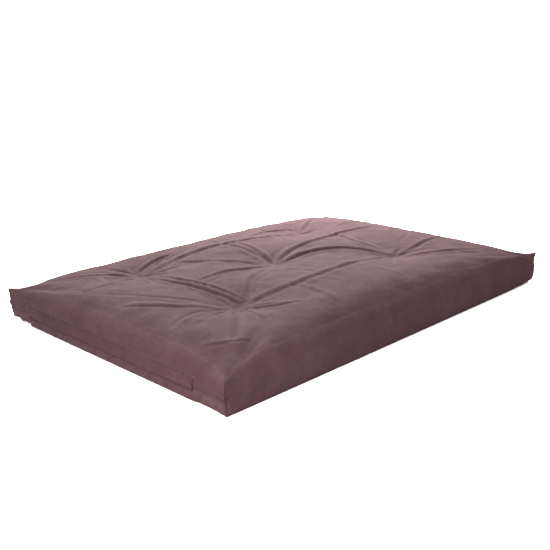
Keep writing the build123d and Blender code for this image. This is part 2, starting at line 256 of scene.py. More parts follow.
def canvas_finish(name, deep, mid, pale):
    finish, tree, shader = new_finish(
        name, Roughness=0.9, Sheen_Weight=0.16, Sheen_Roughness=0.40, Specular_IOR_Level=0.14
    )
    shader.inputs["Sheen Tint"].default_value = rgba(0.98, 0.86, 0.88)
    place = add_node(tree, "ShaderNodeTexCoord")
    dye = add_node(
        tree, "ShaderNodeTexNoise", {"Vector": place.outputs["Object"], "Scale": 7.0, "Detail": 5.0}
    )
    slub = add_node(
        tree, "ShaderNodeTexNoise", {"Vector": place.outputs["Object"], "Scale": 420.0, "Detail": 3.0}
    )
    wear_and_painted_light = add_node(tree, "ShaderNodeAttribute", attribute_name="wear_and_painted_light")
    cloudy = add_node(
        tree, "ShaderNodeMapRange", {"Value": dye.outputs["Fac"], "To Min": -0.10, "To Max": 0.10}
    )
    flecks = add_node(
        tree, "ShaderNodeMapRange", {"Value": slub.outputs["Fac"], "To Min": -0.13, "To Max": 0.13}
    )
    mottle = add_node(
        tree, "ShaderNodeTexNoise",
        {"Vector": place.outputs["Object"], "Scale": 46.0, "Detail": 8.0, "Roughness": 0.72},
    )
    patches = add_node(
        tree, "ShaderNodeMapRange", {"Value": mottle.outputs["Fac"], "To Min": -0.24, "To Max": 0.24}
    )
    tone = add_node(
        tree, "ShaderNodeMath", {0: wear_and_painted_light.outputs["Fac"], 1: cloudy.outputs[0]}, operation="ADD"
    )
    tone = add_node(tree, "ShaderNodeMath", {0: tone.outputs[0], 1: patches.outputs[0]}, operation="ADD")
    tone = add_node(tree, "ShaderNodeMath", {0: tone.outputs[0], 1: flecks.outputs[0]}, operation="ADD")
    ramp = add_node(tree, "ShaderNodeValToRGB", {"Fac": tone.outputs[0]})
    ramp.color_ramp.elements[0].color = deep
    ramp.color_ramp.elements[1].color = pale
    middle = ramp.color_ramp.elements.new(0.5)
    middle.color = mid
    tree.links.new(ramp.outputs["Color"], shader.inputs["Base Color"])
    weave = weave_height(tree, THREADS_PER_METRE)
    rough_cloth = add_node(tree, "ShaderNodeMath", {0: weave, 1: slub.outputs["Fac"]}, operation="ADD")
    bump = add_node(
        tree, "ShaderNodeBump", {"Height": rough_cloth.outputs[0], "Strength": 0.35, "Distance": 0.0006}
    )
    tree.links.new(bump.outputs["Normal"], shader.inputs["Normal"])
    return finish


canvas = canvas_finish("cover_canvas", CANVAS_DEEP, CANVAS_MID, CANVAS_PALE)
print("canvas made with", len(canvas.node_tree.nodes), "nodes")

# %% [markdown]
# ## The cover's pattern
# The real cover is one cloth wrapped over the top, folded under at the front and closed by
# seams half way up the other walls.  The mesh is laid out the same way: a grid for the top,
# a ring of wall columns that hang from its edge, and a second grid underneath.  The lines
# crowd together near the edges, where the cloth turns most.  A subdivided box would be
# quicker, but its lines wouldn't run along the seams.

# %% Grid lines and the cover's main sizes
TOP_CELLS_X = 156
TOP_CELLS_Y = 102
WALL_ROWS = 13
CROWDING = 0.40
FLAP_CLEAR = 0.0008
BAY_END = 0.0024
CORNER_HEIGHT = {"front_left": 0.072, "front_right": 0.075, "back_right": 0.061, "back_left": 0.076}
EDGE_RISE = {"front": 0.014, "end": 0.007, "back": 0.022, "zip": 0.014}
CROWN_SHARE = 0.955
EAR_HEIGHT = {"front_left": 0.003, "front_right": 0.009, "back_right": 0.001, "back_left": 0.007}
EAR_REACH = 0.004
EAR_SPREAD = 0.016
SHOULDER_INSET = 0.024
SHOULDER_EASE = 0.075
RIM_INSET = {"front": 0.0005, "end": 0.005, "back": 0.007, "zip": 0.008}
RIM_LIFT = {"front_left": 0.001, "front_right": 0.006, "back_right": 0.006, "back_left": 0.009}

cover_low = np.array(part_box("cover_cloth")[0])
half_x = (cad_high[0] - cad_low[0]) / 2
half_y = (cad_high[1] - cad_low[1]) / 2
crown_z = cad_high[2]


def crowded(count, half):
    """Evenly numbered lines from -half to +half that crowd towards both ends."""
    even = np.linspace(-1, 1, count + 1)
    return half * (even + CROWDING * np.sin(math.pi * even) / math.pi)


line_x = crowded(TOP_CELLS_X, half_x)
line_y = crowded(TOP_CELLS_Y, half_y)
flap_low, flap_high = (np.array(corner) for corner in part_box("zip_flap"))
for flap_end, outwards in ((flap_low[1], -1), (flap_high[1], 1)):
    nearest = int(np.abs(line_y - flap_end).argmin())
    line_y[nearest] = flap_end + outwards * FLAP_CLEAR
    line_y[nearest + outwards] = flap_end + outwards * (FLAP_CLEAR + BAY_END)
print("cells from", round(float(np.diff(line_x).min()), 4), "to", round(float(np.diff(line_x).max()), 4))

# %% [markdown]
# ## Tufts
# Five ties pull the cloth down.  Their places come from the CAD ties, so the dimples sit
# over the real twine.

# %% Tuft places
TUFT_NAMES = ["middle", "front_left", "front_right", "back_left", "back_right"]
DIMPLE_DEPTH = 0.021
DIMPLE_SPREAD = 0.085


def node_centre(name):
    low, high = (np.array(corner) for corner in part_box(name))
    return (low + high) / 2


tufts = np.array([node_centre("tuft_tie_" + name)[:2] for name in TUFT_NAMES])
print("tufts at", np.round(tufts, 3).tolist())

# %% [markdown]
# ## First shape
# Before the cloth is simulated it gets a rough shape: a low crown, a dimple at each tuft and
# walls that lean in at the shoulder and at the floor.  Near each corner the shoulder stays
# sharp and ends in a small ear, because the corner seam holds it.  The filling is packed a
# little higher along the back edge, right of the middle.

# %% Shape of the top


def smooth_step(value):
    value = np.clip(value, 0, 1)
    return value * value * (3 - 2 * value)


def away_from_corner(across, half, ease=0.15):
    """0 at either end of an edge, 1 well away from both ends."""
    return smooth_step((half - np.abs(across)) / ease)


CORNER_SIGNS = {"front_left": (-1, -1), "front_right": (1, -1),
                "back_right": (1, 1), "back_left": (-1, 1)}


def corner_height(x, y):
    """Height of the four corners, blended over the whole plan."""
    total = 0
    for corner, (sign_x, sign_y) in CORNER_SIGNS.items():
        share = (1 + sign_x * x / half_x) * (1 + sign_y * y / half_y) / 4
        total = total + CORNER_HEIGHT[corner] * share
    return total


def ear(x, y):
    """Rise of the shoulder right at a corner, and the dip beside it."""
    rise = np.zeros_like(x)
    for corner, (sign_x, sign_y) in CORNER_SIGNS.items():
        distance = np.hypot(half_x - sign_x * x, half_y - sign_y * y)
        peak = np.exp(-((distance / EAR_SPREAD) ** 2)) - 0.10 * np.exp(-((distance / 0.05) ** 2))
        rise = rise + EAR_HEIGHT[corner] * peak
    return rise


def ear_reach(points):
    """Points near the ears moved outwards at their tips and inwards at the waist below."""
    moved = points.copy()
    for corner, (sign_x, sign_y) in CORNER_SIGNS.items():
        share = EAR_HEIGHT[corner] / 0.010
        distance = np.hypot(half_x - sign_x * points[..., 0], half_y - sign_y * points[..., 1])
        near = np.exp(-((distance / 0.018) ** 2))
        below = CORNER_HEIGHT[corner] + EAR_HEIGHT[corner] - points[..., 2]
        push = EAR_REACH * np.exp(-((below / 0.010) ** 2)) - 0.4 * EAR_REACH * np.exp(
            -(((below - 0.026) / 0.013) ** 2)
        )
        moved[..., 0] += sign_x * share * near * push * 0.7
        moved[..., 1] += sign_y * share * near * push * 0.7
    return moved


def edge_rise(x, y):
    """Rise of the shoulder between corners, blended between the four sides."""
    weight = {
        "front": smooth_step((-y / half_y - 0.2) / 0.8),
        "back": smooth_step((y / half_y - 0.2) / 0.8),
        "end": smooth_step((x / half_x - 0.3) / 0.7),
        "zip": smooth_step((-x / half_x - 0.3) / 0.7),
    }
    total = sum(weight.values()) + 1e-6
    return sum(EDGE_RISE[side] * weight[side] for side in weight) / total + 0.014 * 1e-6 / total


BACK_SWELL = 0.006


def top_height(x, y):
    """Crown over the whole top, less a dimple at each tuft."""
    fade_x = 1 - (np.abs(x) / half_x) ** 3.6
    fade_y = 1 - (np.abs(y) / half_y) ** 3.2
    rise = (fade_x * fade_y) ** 0.72
    side_rise = edge_rise(x, y)
    low = corner_height(x, y)
    edge = low + side_rise * np.minimum(
        away_from_corner(x, half_x) + away_from_corner(y, half_y), 1
    )
    swell = np.exp(-(((x / half_x - 0.50) / 0.34) ** 2)) * smooth_step((y / half_y - 0.5) / 0.5)
    edge = edge + BACK_SWELL * swell
    height = edge + (crown_z * CROWN_SHARE - low - side_rise) * rise + ear(x, y)
    for tuft_x, tuft_y in tufts:
        distance = np.hypot(x - tuft_x, (y - tuft_y) * 1.1)
        height = height - DIMPLE_DEPTH * np.exp(-((distance / DIMPLE_SPREAD) ** 1.2))
    return height


grid_x, grid_y = np.meshgrid(line_x, line_y, indexing="ij")
top_z = top_height(grid_x, grid_y)
shrink_x = SHOULDER_INSET * away_from_corner(grid_y, half_y, SHOULDER_EASE)
shrink_y = SHOULDER_INSET * away_from_corner(grid_x, half_x, SHOULDER_EASE)
top_points = np.stack(
    [grid_x * (1 - shrink_x / half_x), grid_y * (1 - shrink_y / half_y), top_z], axis=-1
)
top_points = ear_reach(top_points)
print("top runs from", round(float(top_z.min()), 3), "to", round(float(top_z.max()), 3))

# %% [markdown]
# The walls are a closed ring of columns.  Each column starts on the top's edge and drops to
# the floor through the same number of rows.  The ring starts at the front left corner and
# runs along the front, the plain end, the back and the zip end.

# %% Wall ring
SIDES = ["front", "end", "back", "zip"]
ring_index = [(i, 0) for i in range(TOP_CELLS_X)]
ring_index += [(TOP_CELLS_X, j) for j in range(TOP_CELLS_Y)]
ring_index += [(i, TOP_CELLS_Y) for i in range(TOP_CELLS_X, 0, -1)]
ring_index += [(0, j) for j in range(TOP_CELLS_Y, 0, -1)]
ring_index = np.array(ring_index)
ring_count = len(ring_index)
ring_top = top_points[ring_index[:, 0], ring_index[:, 1]]
ring_nominal = np.stack([line_x[ring_index[:, 0]], line_y[ring_index[:, 1]]], axis=-1)
ring_side = np.repeat(np.arange(4), [TOP_CELLS_X, TOP_CELLS_Y, TOP_CELLS_X, TOP_CELLS_Y])
corner_column = {
    "front_left": 0,
    "front_right": TOP_CELLS_X,
    "back_right": TOP_CELLS_X + TOP_CELLS_Y,
    "back_left": 2 * TOP_CELLS_X + TOP_CELLS_Y,
}

on_x = np.abs(np.abs(ring_nominal[:, 0]) - half_x) < 1e-6
on_y = np.abs(np.abs(ring_nominal[:, 1]) - half_y) < 1e-6
ring_out = np.zeros((ring_count, 2))
ring_out[on_x, 0] = np.sign(ring_nominal[on_x, 0])
ring_out[on_y, 1] = np.sign(ring_nominal[on_y, 1])
ring_middle = np.where(
    on_x & on_y,
    0.0,
    np.where(on_x, away_from_corner(ring_nominal[:, 1], half_y, SHOULDER_EASE),
             away_from_corner(ring_nominal[:, 0], half_x, SHOULDER_EASE)),
)
inset_each = np.array([RIM_INSET[side] for side in SIDES])
ring_inset = np.stack(
    [np.where(ring_out[:, 0] < 0, inset_each[3], inset_each[1]),
     np.where(ring_out[:, 1] < 0, inset_each[0], inset_each[2])], axis=-1
)


def corner_lift(x, y):
    """How far the bottom edge stands off the floor near the corners."""
    lift = np.zeros_like(np.asarray(x, dtype=float))
    for corner, height in RIM_LIFT.items():
        corner_x, corner_y = ring_nominal[corner_column[corner]]
        lift = lift + height * np.exp(-((np.hypot(x - corner_x, y - corner_y) / 0.075) ** 1.6))
    return lift


def wall_point(column, drop):
    """Point on a wall column, from 0 at the shoulder to 1 at the floor."""
    nominal, out, middle = ring_nominal[column], ring_out[column], ring_middle[column]
    bulge = 0.46
    if drop < bulge:
        lean = -SHOULDER_INSET * middle * (1 - drop / bulge) ** 2 * np.ones(2)
    else:
        lean = -ring_inset[column] * (0.45 + 0.55 * middle) * ((drop - bulge) / (1 - bulge)) ** 2.2
    lift = float(corner_lift(nominal[0], nominal[1]))
    height = lift + (ring_top[column][2] - lift) * (1 - drop) ** 0.92
    return (nominal[0] + out[0] * lean[0], nominal[1] + out[1] * lean[1], height)


wall_points = np.array(
    [[wall_point(c, row / WALL_ROWS) for c in range(ring_count)] for row in range(1, WALL_ROWS + 1)]
)
wall_points = ear_reach(wall_points)
print("wall ring", ring_count, "columns by", WALL_ROWS, "rows")

# %% [markdown]
# ## Room for the zip
# Behind the flap the wall has to stand back, because the chain, slider and flap stack up to
# 8 mm in front of it.  The wall is drawn in to the CAD wall there, over the flap's length,
# and eases out again past both ends.  Two of its rows sit on the edges of the cut opening.
# Below the zip's line the whole wall is a separate strip that stands back a little.

# %% Zip bay
BAY_EASE = 0.055
STRIP_RECESS = 0.006
chain_low = np.array(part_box("zip_coil_lower")[0])
upper_high = np.array(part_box("zip_coil_upper")[1])
rows_low, rows_high = (np.array(corner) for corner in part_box("zip_stitching"))
chain_z = float(chain_low[2] + upper_high[2]) / 2
zip_wall_x = float(cover_low[0])
window_half = 0.0052
bay_z = [0.0, 0.008, 0.016, 0.024, chain_z - window_half, chain_z, chain_z + window_half]
bay_z += [0.0475, 0.0520, 0.0560, 0.0610, 0.0675, 0.0745]


def bay_share(y, ease=None):
    """1 behind the flap, easing to 0 past its ends."""
    ease = BAY_END if ease is None else ease
    from_front = (y - (flap_low[1] - FLAP_CLEAR - ease)) / ease
    from_back = ((flap_high[1] + FLAP_CLEAR + ease) - y) / ease
    return smooth_step(np.minimum(from_front, from_back))


def bay_face(z):
    """How far out the wall stands at this height, measured outwards from the CAD wall."""
    under = 0.0015 * (np.clip((0.024 - z) / 0.024, 0, 1)) ** 1.7
    over = 0.0014 * smooth_step((z - 0.0500) / 0.003) + 0.0042 * smooth_step((z - 0.0530) / 0.024)
    return over - under


zip_columns = [c for c in range(ring_count) if on_x[c] and ring_nominal[c, 0] < 0]
recess_end = 0.4 + 0.6 * away_from_corner(ring_nominal[:, 1], half_y, 0.06)
for column in zip_columns:
    strip = smooth_step((chain_z + 0.002 - wall_points[:, column, 2]) / 0.009)
    wall_points[:, column, 0] += STRIP_RECESS * recess_end[column] * strip
for column in zip_columns:
    share_below = float(bay_share(ring_nominal[column, 1]))
    share_above = float(bay_share(ring_nominal[column, 1], BAY_EASE))
    if share_above <= 0:
        continue
    for row in range(1, WALL_ROWS + 1):
        z_target = bay_z[WALL_ROWS - row]
        share = share_above if z_target > 0.050 else share_below
        x_target = zip_wall_x - bay_face(z_target)
        x_now, y_now, z_now = wall_points[row - 1, column]
        wall_points[row - 1, column] = (
            x_now + (x_target - x_now) * share,
            y_now,
            z_now + (z_target - z_now) * share,
        )
bay_columns = [c for c in zip_columns if bay_share(ring_nominal[c, 1]) > 0.98]
print("zip bay at x", round(zip_wall_x, 4), "over", len(bay_columns), "columns")

# %% [markdown]
# ## Sew the sheet
# Top grid and wall ring become one mesh.

# %% Build the open sheet
top_ids = np.arange((TOP_CELLS_X + 1) * (TOP_CELLS_Y + 1)).reshape(TOP_CELLS_X + 1, TOP_CELLS_Y + 1)
top_count = top_ids.size
wall_ids = np.vstack(
    [top_ids[ring_index[:, 0], ring_index[:, 1]][None, :]]
    + [top_count + np.arange(ring_count)[None, :] + row * ring_count for row in range(WALL_ROWS)]
)
sheet_points = np.vstack([top_points.reshape(-1, 3), wall_points.reshape(-1, 3)])


def grid_faces(ids):
    """Faces of a grid, one row of numbers each."""
    return np.stack([ids[:-1, :-1], ids[1:, :-1], ids[1:, 1:], ids[:-1, 1:]], axis=-1).reshape(-1, 4)


closed_ring = np.hstack([wall_ids, wall_ids[:, :1]])
wall_faces = np.stack(
    [closed_ring[:-1, 1:], closed_ring[:-1, :-1], closed_ring[1:, :-1], closed_ring[1:, 1:]], axis=-1
)
sheet_faces = np.vstack([grid_faces(top_ids), wall_faces.reshape(-1, 4)])


def make_object(name, points, faces, finish=None, smooth=True):
    """A mesh object from points and faces, shaded smooth."""
    mesh = bpy.data.meshes.new(name)
    mesh.from_pydata(np.asarray(points).tolist(), [], np.asarray(faces).tolist())
    mesh.polygons.foreach_set("use_smooth", [smooth] * len(mesh.polygons))
    mesh.update()
    if finish is not None:
        mesh.materials.append(finish)
    piece = bpy.data.objects.new(name, mesh)
    bpy.context.scene.collection.objects.link(piece)
    return piece


def read_points(mesh, name="co"):
    flat = np.empty(len(mesh.vertices) * 3)
    mesh.vertices.foreach_get(name, flat)
    return flat.reshape(-1, 3)


def write_points(mesh, points):
    mesh.vertices.foreach_set("co", np.asarray(points, dtype=float).ravel())
    mesh.update()


sheet = make_object("sheet", sheet_points, sheet_faces)
print("sheet has", len(sheet_points), "points")

# %% [markdown]
# ## Let the cloth settle
# Blender's cloth solver does what the filling does: pressure swells the sheet, and a little
# spare cloth lets it buckle into real folds between the points that are held.  Held points
# are the floor line, the five tufts and the wall behind the zip.  Gravity is off, since the
# fibre carries the cloth.  A sculpted surface could look alike from one side, but these
# folds agree with each other from every side.

# %% Cloth simulation
PRESSURE = 2.1
SPARE_CLOTH = 0.028
SETTLE_FRAMES = 30
TUFT_HOLD = 0.009
MOVE_LIMIT = 0.015
START_NOISE = 0.0003

chance = np.random.default_rng(11)


def held_points(points):
    """Points that the solver may not move."""
    held = np.zeros(len(points), dtype=bool)
    held[wall_ids[-1]] = True
    for tuft in tufts:
        near = np.hypot(points[:, 0] - tuft[0], points[:, 1] - tuft[1]) < TUFT_HOLD
        held |= near & (points[:, 2] > crown_z / 2)
    for column in bay_columns:
        held[wall_ids[4:, column]] = True
    for column in corner_column.values():
        held[wall_ids[:, column]] = True
    return held


def settle(piece, frames):
    """Run the cloth solver on a piece and return its points before and after."""
    start = read_points(piece.data)
    held = held_points(start)
    rough = start.copy()
    rough[~held, 2] += chance.normal(0, START_NOISE, int((~held).sum()))
    write_points(piece.data, rough)
    group = piece.vertex_groups.new(name="held")
    group.add([int(v) for v in np.nonzero(held)[0]], 1.0, "REPLACE")
    spare = piece.vertex_groups.new(name="spare")
    edge_gap = np.minimum(half_x - np.abs(start[:, 0]), half_y - np.abs(start[:, 1]))
    share = smooth_step((edge_gap - 0.03) / 0.09)
    for number, weight in enumerate(share.tolist()):
        spare.add([number], weight, "REPLACE")
    cloth = piece.modifiers.new("cloth", "CLOTH")
    rules = cloth.settings
    rules.quality = 6
    rules.mass = 0.25
    rules.tension_stiffness = 40
    rules.compression_stiffness = 40
    rules.shear_stiffness = 14
    rules.bending_stiffness = 2.0
    rules.tension_damping = 12
    rules.compression_damping = 12
    rules.shear_damping = 12
    rules.bending_damping = 1.0
    rules.air_damping = 2.0
    rules.vertex_group_mass = "held"
    rules.pin_stiffness = 1.0
    rules.vertex_group_shrink = "spare"
    rules.shrink_min = 0.0
    rules.shrink_max = -SPARE_CLOTH
    rules.use_pressure = True
    rules.uniform_pressure_force = PRESSURE
    rules.effector_weights.gravity = 0.0
    cloth.collision_settings.use_collision = False
    cloth.collision_settings.use_self_collision = False
    scene = bpy.context.scene
    cloth.point_cache.frame_start = 1
    cloth.point_cache.frame_end = frames
    for step in range(1, frames + 1):
        scene.frame_set(step)
    settled = piece.evaluated_get(bpy.context.evaluated_depsgraph_get()).data
    end = read_points(settled)
    piece.modifiers.remove(cloth)
    scene.frame_set(1)
    return start, end


settled_points = sheet_points
before, after = settle(sheet, SETTLE_FRAMES)
move = after - before
size = np.linalg.norm(move, axis=1, keepdims=True)
settled_points = before + move * np.minimum(1.0, MOVE_LIMIT / np.maximum(size, 1e-9))
print("cloth moved up to", round(float(size.max()), 4), "mean", round(float(size.mean()), 4))
bpy.data.objects.remove(sheet)

# %% [markdown]
# ## Close the cover underneath
# The bottom is flat where it lies on the floor, lifts a little at the corners and rises to a
# shallow dimple at each tuft, where the twine pulls it up.

# %% Bottom panel and the closed shell
BOTTOM_DIMPLE = 0.006

rim = settled_points[wall_ids[-1]]
bottom_points = np.zeros((TOP_CELLS_X + 1, TOP_CELLS_Y + 1, 3))
rim_x = {"low": -half_x + RIM_INSET["zip"], "high": half_x - RIM_INSET["end"]}
rim_y = {"low": -half_y + RIM_INSET["front"], "high": half_y - RIM_INSET["back"]}
bottom_points[..., 0] = np.interp(line_x, (-half_x, half_x), (rim_x["low"], rim_x["high"]))[:, None]
bottom_points[..., 1] = np.interp(line_y, (-half_y, half_y), (rim_y["low"], rim_y["high"]))[None, :]
bottom_points[ring_index[:, 0], ring_index[:, 1]] = rim
edge_gap = np.minimum(half_x - np.abs(grid_x), half_y - np.abs(grid_y))
bottom_points[..., 2] = corner_lift(grid_x, grid_y) * np.exp(-edge_gap / 0.06)
ripple = np.sin(grid_x * 61 + 2 * np.sin(grid_y * 23)) * np.sin(grid_y * 47 + 1.4 * np.sin(grid_x * 31))
bottom_points[..., 2] += 0.0006 * (1 + ripple) * smooth_step(edge_gap / 0.05)
for tuft_x, tuft_y in tufts:
    distance = np.hypot(grid_x - tuft_x, grid_y - tuft_y)
    bottom_points[..., 2] += BOTTOM_DIMPLE * np.exp(-((distance / 0.030) ** 1.6))

bottom_ids = np.full((TOP_CELLS_X + 1, TOP_CELLS_Y + 1), -1)
bottom_ids[ring_index[:, 0], ring_index[:, 1]] = wall_ids[-1]
inner_count = (TOP_CELLS_X - 1) * (TOP_CELLS_Y - 1)
bottom_ids[1:-1, 1:-1] = (len(settled_points) + np.arange(inner_count)).reshape(
    TOP_CELLS_X - 1, TOP_CELLS_Y - 1
)
shell_points = np.vstack([settled_points, bottom_points[1:-1, 1:-1].reshape(-1, 3)])
shell_faces = np.vstack([sheet_faces, grid_faces(bottom_ids)[:, ::-1]])
print("closed shell has", len(shell_points), "points")

# %% [markdown]
# ## Cut the zip's opening and refine
# The opening's faces are left out, then the mesh is subdivided once.  Each point carries its
# own place on the flat pattern through the subdivision, because the creases need it.

# %% Pattern coordinates and the refined cover
CORNER_SHARPNESS = 0.75

window_low, window_high = rows_low[1], rows_high[1]
open_rows = [WALL_ROWS - 6, WALL_ROWS - 5]
keep = np.ones(len(shell_faces), dtype=bool)
first_wall_face = TOP_CELLS_X * TOP_CELLS_Y
for column in range(ring_count):
    following = (column + 1) % ring_count
    if ring_side[column] != 3:
        continue
    y_here, y_next = ring_nominal[column, 1], ring_nominal[following, 1]
    if y_here <= window_high + 0.003 and y_next >= window_low - 0.003:
        for row in open_rows:
            keep[first_wall_face + row * ring_count + column] = False

plan = np.zeros((len(shell_points), 3))
plan[:top_count, 0] = grid_x.ravel()
plan[:top_count, 1] = grid_y.ravel()
drop_now = np.zeros(ring_count)
for row in range(1, WALL_ROWS + 1):
    step = np.linalg.norm(shell_points[wall_ids[row]] - shell_points[wall_ids[row - 1]], axis=1)
    drop_now = drop_now + step
    plan[wall_ids[row], :2] = ring_nominal
    plan[wall_ids[row], 2] = drop_now
plan[bottom_ids[1:-1, 1:-1].ravel(), 0] = grid_x[1:-1, 1:-1].ravel()
plan[bottom_ids[1:-1, 1:-1].ravel(), 1] = grid_y[1:-1, 1:-1].ravel()
plan[bottom_ids[1:-1, 1:-1].ravel(), 2] = 1.0

cover = make_object("cover", shell_points, shell_faces[keep], canvas)
plan_layer = cover.data.attributes.new("plan", "FLOAT_VECTOR", "POINT")
plan_layer.data.foreach_set("vector", plan.ravel())
crease_layer = cover.data.attributes.new("crease_edge", "FLOAT", "EDGE")
edge_ends = np.empty(len(cover.data.edges) * 2, dtype=int)
cover.data.edges.foreach_get("vertices", edge_ends)
edge_ends = edge_ends.reshape(-1, 2)
corner_points = np.zeros(len(shell_points), dtype=bool)
for column in corner_column.values():
    corner_points[wall_ids[:, column]] = True
crease_layer.data.foreach_set(
    "value", (corner_points[edge_ends].all(axis=1) * CORNER_SHARPNESS).astype(np.float32)
)


def bake_subdivision(piece, levels):
    """Replace a piece's mesh by its subdivided one."""
    refine = piece.modifiers.new("refine", "SUBSURF")
    refine.levels = levels
    refine.render_levels = levels
    depsgraph = bpy.context.evaluated_depsgraph_get()
    refined = bpy.data.meshes.new_from_object(piece.evaluated_get(depsgraph), depsgraph=depsgraph)
    piece.modifiers.remove(refine)
    old = piece.data
    piece.data = refined
    bpy.data.meshes.remove(old)


bake_subdivision(cover, 1)
cover_points = read_points(cover.data)
cover_normals = read_points(cover.data, "normal")
flat_plan = np.empty(len(cover.data.vertices) * 3)
cover.data.attributes["plan"].data.foreach_get("vector", flat_plan)
cover_plan = flat_plan.reshape(-1, 3)
print("refined cover has", len(cover_points), "points")

# %% [markdown]
# ## Creases
# The big folds come from the solver.  The finer, sharper ones were pressed in by use, and
# each is drawn here as a line on the pattern with a depth and a width.  Lines are given in
# bed lengths from the front left corner.  A crease is a narrow valley with a soft ridge on
# both sides, one higher than the other, because the cloth that leaves the valley has to go
# somewhere.  Short random creases fan out from each tuft, and more lie scattered about.

# %% Crease lines
CREASES = [
    ([(0.205, 0.48), (0.203, 0.43), (0.218, 0.31), (0.232, 0.205)], 2.6, 7),
    ([(0.226, 0.47), (0.228, 0.40), (0.240, 0.30), (0.246, 0.21)], 1.8, 6),
    ([(0.215, 0.185), (0.245, 0.14), (0.300, 0.10)], 2.0, 6),
    ([(0.240, 0.195), (0.40, 0.182), (0.56, 0.192), (0.71, 0.198)], 2.0, 11),
    ([(0.75, 0.190), (0.85, 0.195), (0.955, 0.200)], 1.8, 9),
    ([(0.480, 0.345), (0.57, 0.342), (0.665, 0.292), (0.722, 0.205)], 3.6, 9),
    ([(0.482, 0.352), (0.56, 0.380), (0.65, 0.392), (0.75, 0.404), (0.92, 0.385)], 3.4, 9),
    ([(0.24, 0.352), (0.32, 0.357), (0.39, 0.352), (0.462, 0.350)], 2.2, 8),
    ([(0.235, 0.512), (0.38, 0.528), (0.55, 0.520), (0.72, 0.510)], 2.2, 10),
    ([(0.228, 0.535), (0.28, 0.556), (0.352, 0.566)], 2.6, 6),
    ([(0.452, 0.20), (0.446, 0.30), (0.462, 0.345)], 1.8, 9),
    ([(0.476, 0.36), (0.482, 0.46), (0.470, 0.58)], 2.2, 10),
    ([(0.512, 0.24), (0.498, 0.31), (0.476, 0.345)], 1.8, 8),
    ([(0.505, 0.56), (0.500, 0.45), (0.478, 0.36)], 1.5, 8),
    ([(0.040, 0.340), (0.10, 0.275), (0.185, 0.205)], 1.8, 9),
    ([(0.195, 0.180), (0.14, 0.120), (0.085, 0.070)], 1.7, 10),
    ([(0.190, 0.530), (0.12, 0.570), (0.06, 0.615)], 1.7, 10),
    ([(0.745, 0.170), (0.82, 0.115), (0.90, 0.070)], 1.6, 9),
    ([(0.760, 0.525), (0.85, 0.575), (0.93, 0.610)], 1.6, 9),
    ([(0.742, 0.490), (0.758, 0.42), (0.735, 0.33), (0.732, 0.22)], 1.8, 9),
    ([(0.190, 0.200), (0.12, 0.215), (0.045, 0.195)], 1.4, 8),
    ([(0.185, 0.505), (0.10, 0.480), (0.04, 0.470)], 1.5, 8),
    ([(0.200, 0.215), (0.12, 0.330), (0.06, 0.430)], 1.2, 9),
    ([(0.300, 0.520), (0.36, 0.450), (0.45, 0.365)], 1.4, 8),
    ([(0.250, 0.215), (0.34, 0.285), (0.455, 0.338)], 1.4, 9),
    ([(0.36, 0.205), (0.36, 0.12), (0.345, 0.045)], 1.0, 10),
    ([(0.56, 0.180), (0.575, 0.11), (0.56, 0.040)], 1.0, 10),
    ([(0.60, 0.430), (0.64, 0.500), (0.66, 0.600)], 1.3, 9),
    ([(0.86, 0.30), (0.90, 0.330), (0.965, 0.335)], 1.2, 8),
    ([(0.80, 0.46), (0.88, 0.470), (0.96, 0.455)], 1.3, 8),
    ([(0.58, 0.545), (0.66, 0.560), (0.74, 0.545)], 1.4, 7),
    ([(0.030, 0.100), (0.060, 0.070), (0.110, 0.045)], 1.0, 6),
]
STARS_PER_TUFT = 13
SCATTERED = 60
DEEPEST = 0.0042
WIDTH_GAIN = 0.74
RIDGE_SHARE = 0.6
CREASE_GAIN = 1.5


def dense_curve(knots, spacing):
    """Evenly dense points on a smooth curve through the knots."""
    knots = np.asarray(knots, dtype=float)
    padded = np.vstack([2 * knots[0] - knots[1], knots, 2 * knots[-1] - knots[-2]])
    found = []
    for start in range(1, len(padded) - 2):
        p0, p1, p2, p3 = padded[start - 1 : start + 3]
        steps = max(2, int(np.linalg.norm(p2 - p1) / spacing))
        t = np.linspace(0, 1, steps, endpoint=False)[:, None]
        found.append(
            0.5 * (2 * p1 + (p2 - p0) * t + (2 * p0 - 5 * p1 + 4 * p2 - p3) * t**2
                   + (3 * p1 - p0 - 3 * p2 + p3) * t**3)
        )
    return np.vstack([*found, knots[-1:]])


def crease_field(places, knots, depth, width):
    """Height that one crease adds at each place, and how deep inside its valley each one is."""
    line = dense_curve(knots, 0.006)
    reach = 4 * width
    inside = np.all((places > line.min(axis=0) - reach) & (places < line.max(axis=0) + reach), axis=1)
    height = np.zeros(len(places))
    if not inside.any():
        return height
    near = places[inside]
    gaps = np.linalg.norm(near[:, None, :] - line[None, :, :], axis=2)
    nearest = gaps.argmin(axis=1)
    distance = gaps[np.arange(len(near)), nearest]
    along = nearest / (len(line) - 1)
    taper = np.clip(np.sin(math.pi * np.clip(along * 0.94 + 0.03, 0, 1)), 0, 1) ** 0.7
    ahead = np.gradient(line, axis=0)[nearest]
    gap = near - line[nearest]
    side = np.sign(ahead[:, 0] * gap[:, 1] - ahead[:, 1] * gap[:, 0])
    valley = -np.exp(-((distance / width) ** 2))
    ridge = RIDGE_SHARE * (1 + 0.55 * side) * np.exp(-(((distance - 1.9 * width) / (1.2 * width)) ** 2))
    height[inside] = depth * taper * (valley + ridge)
    return height


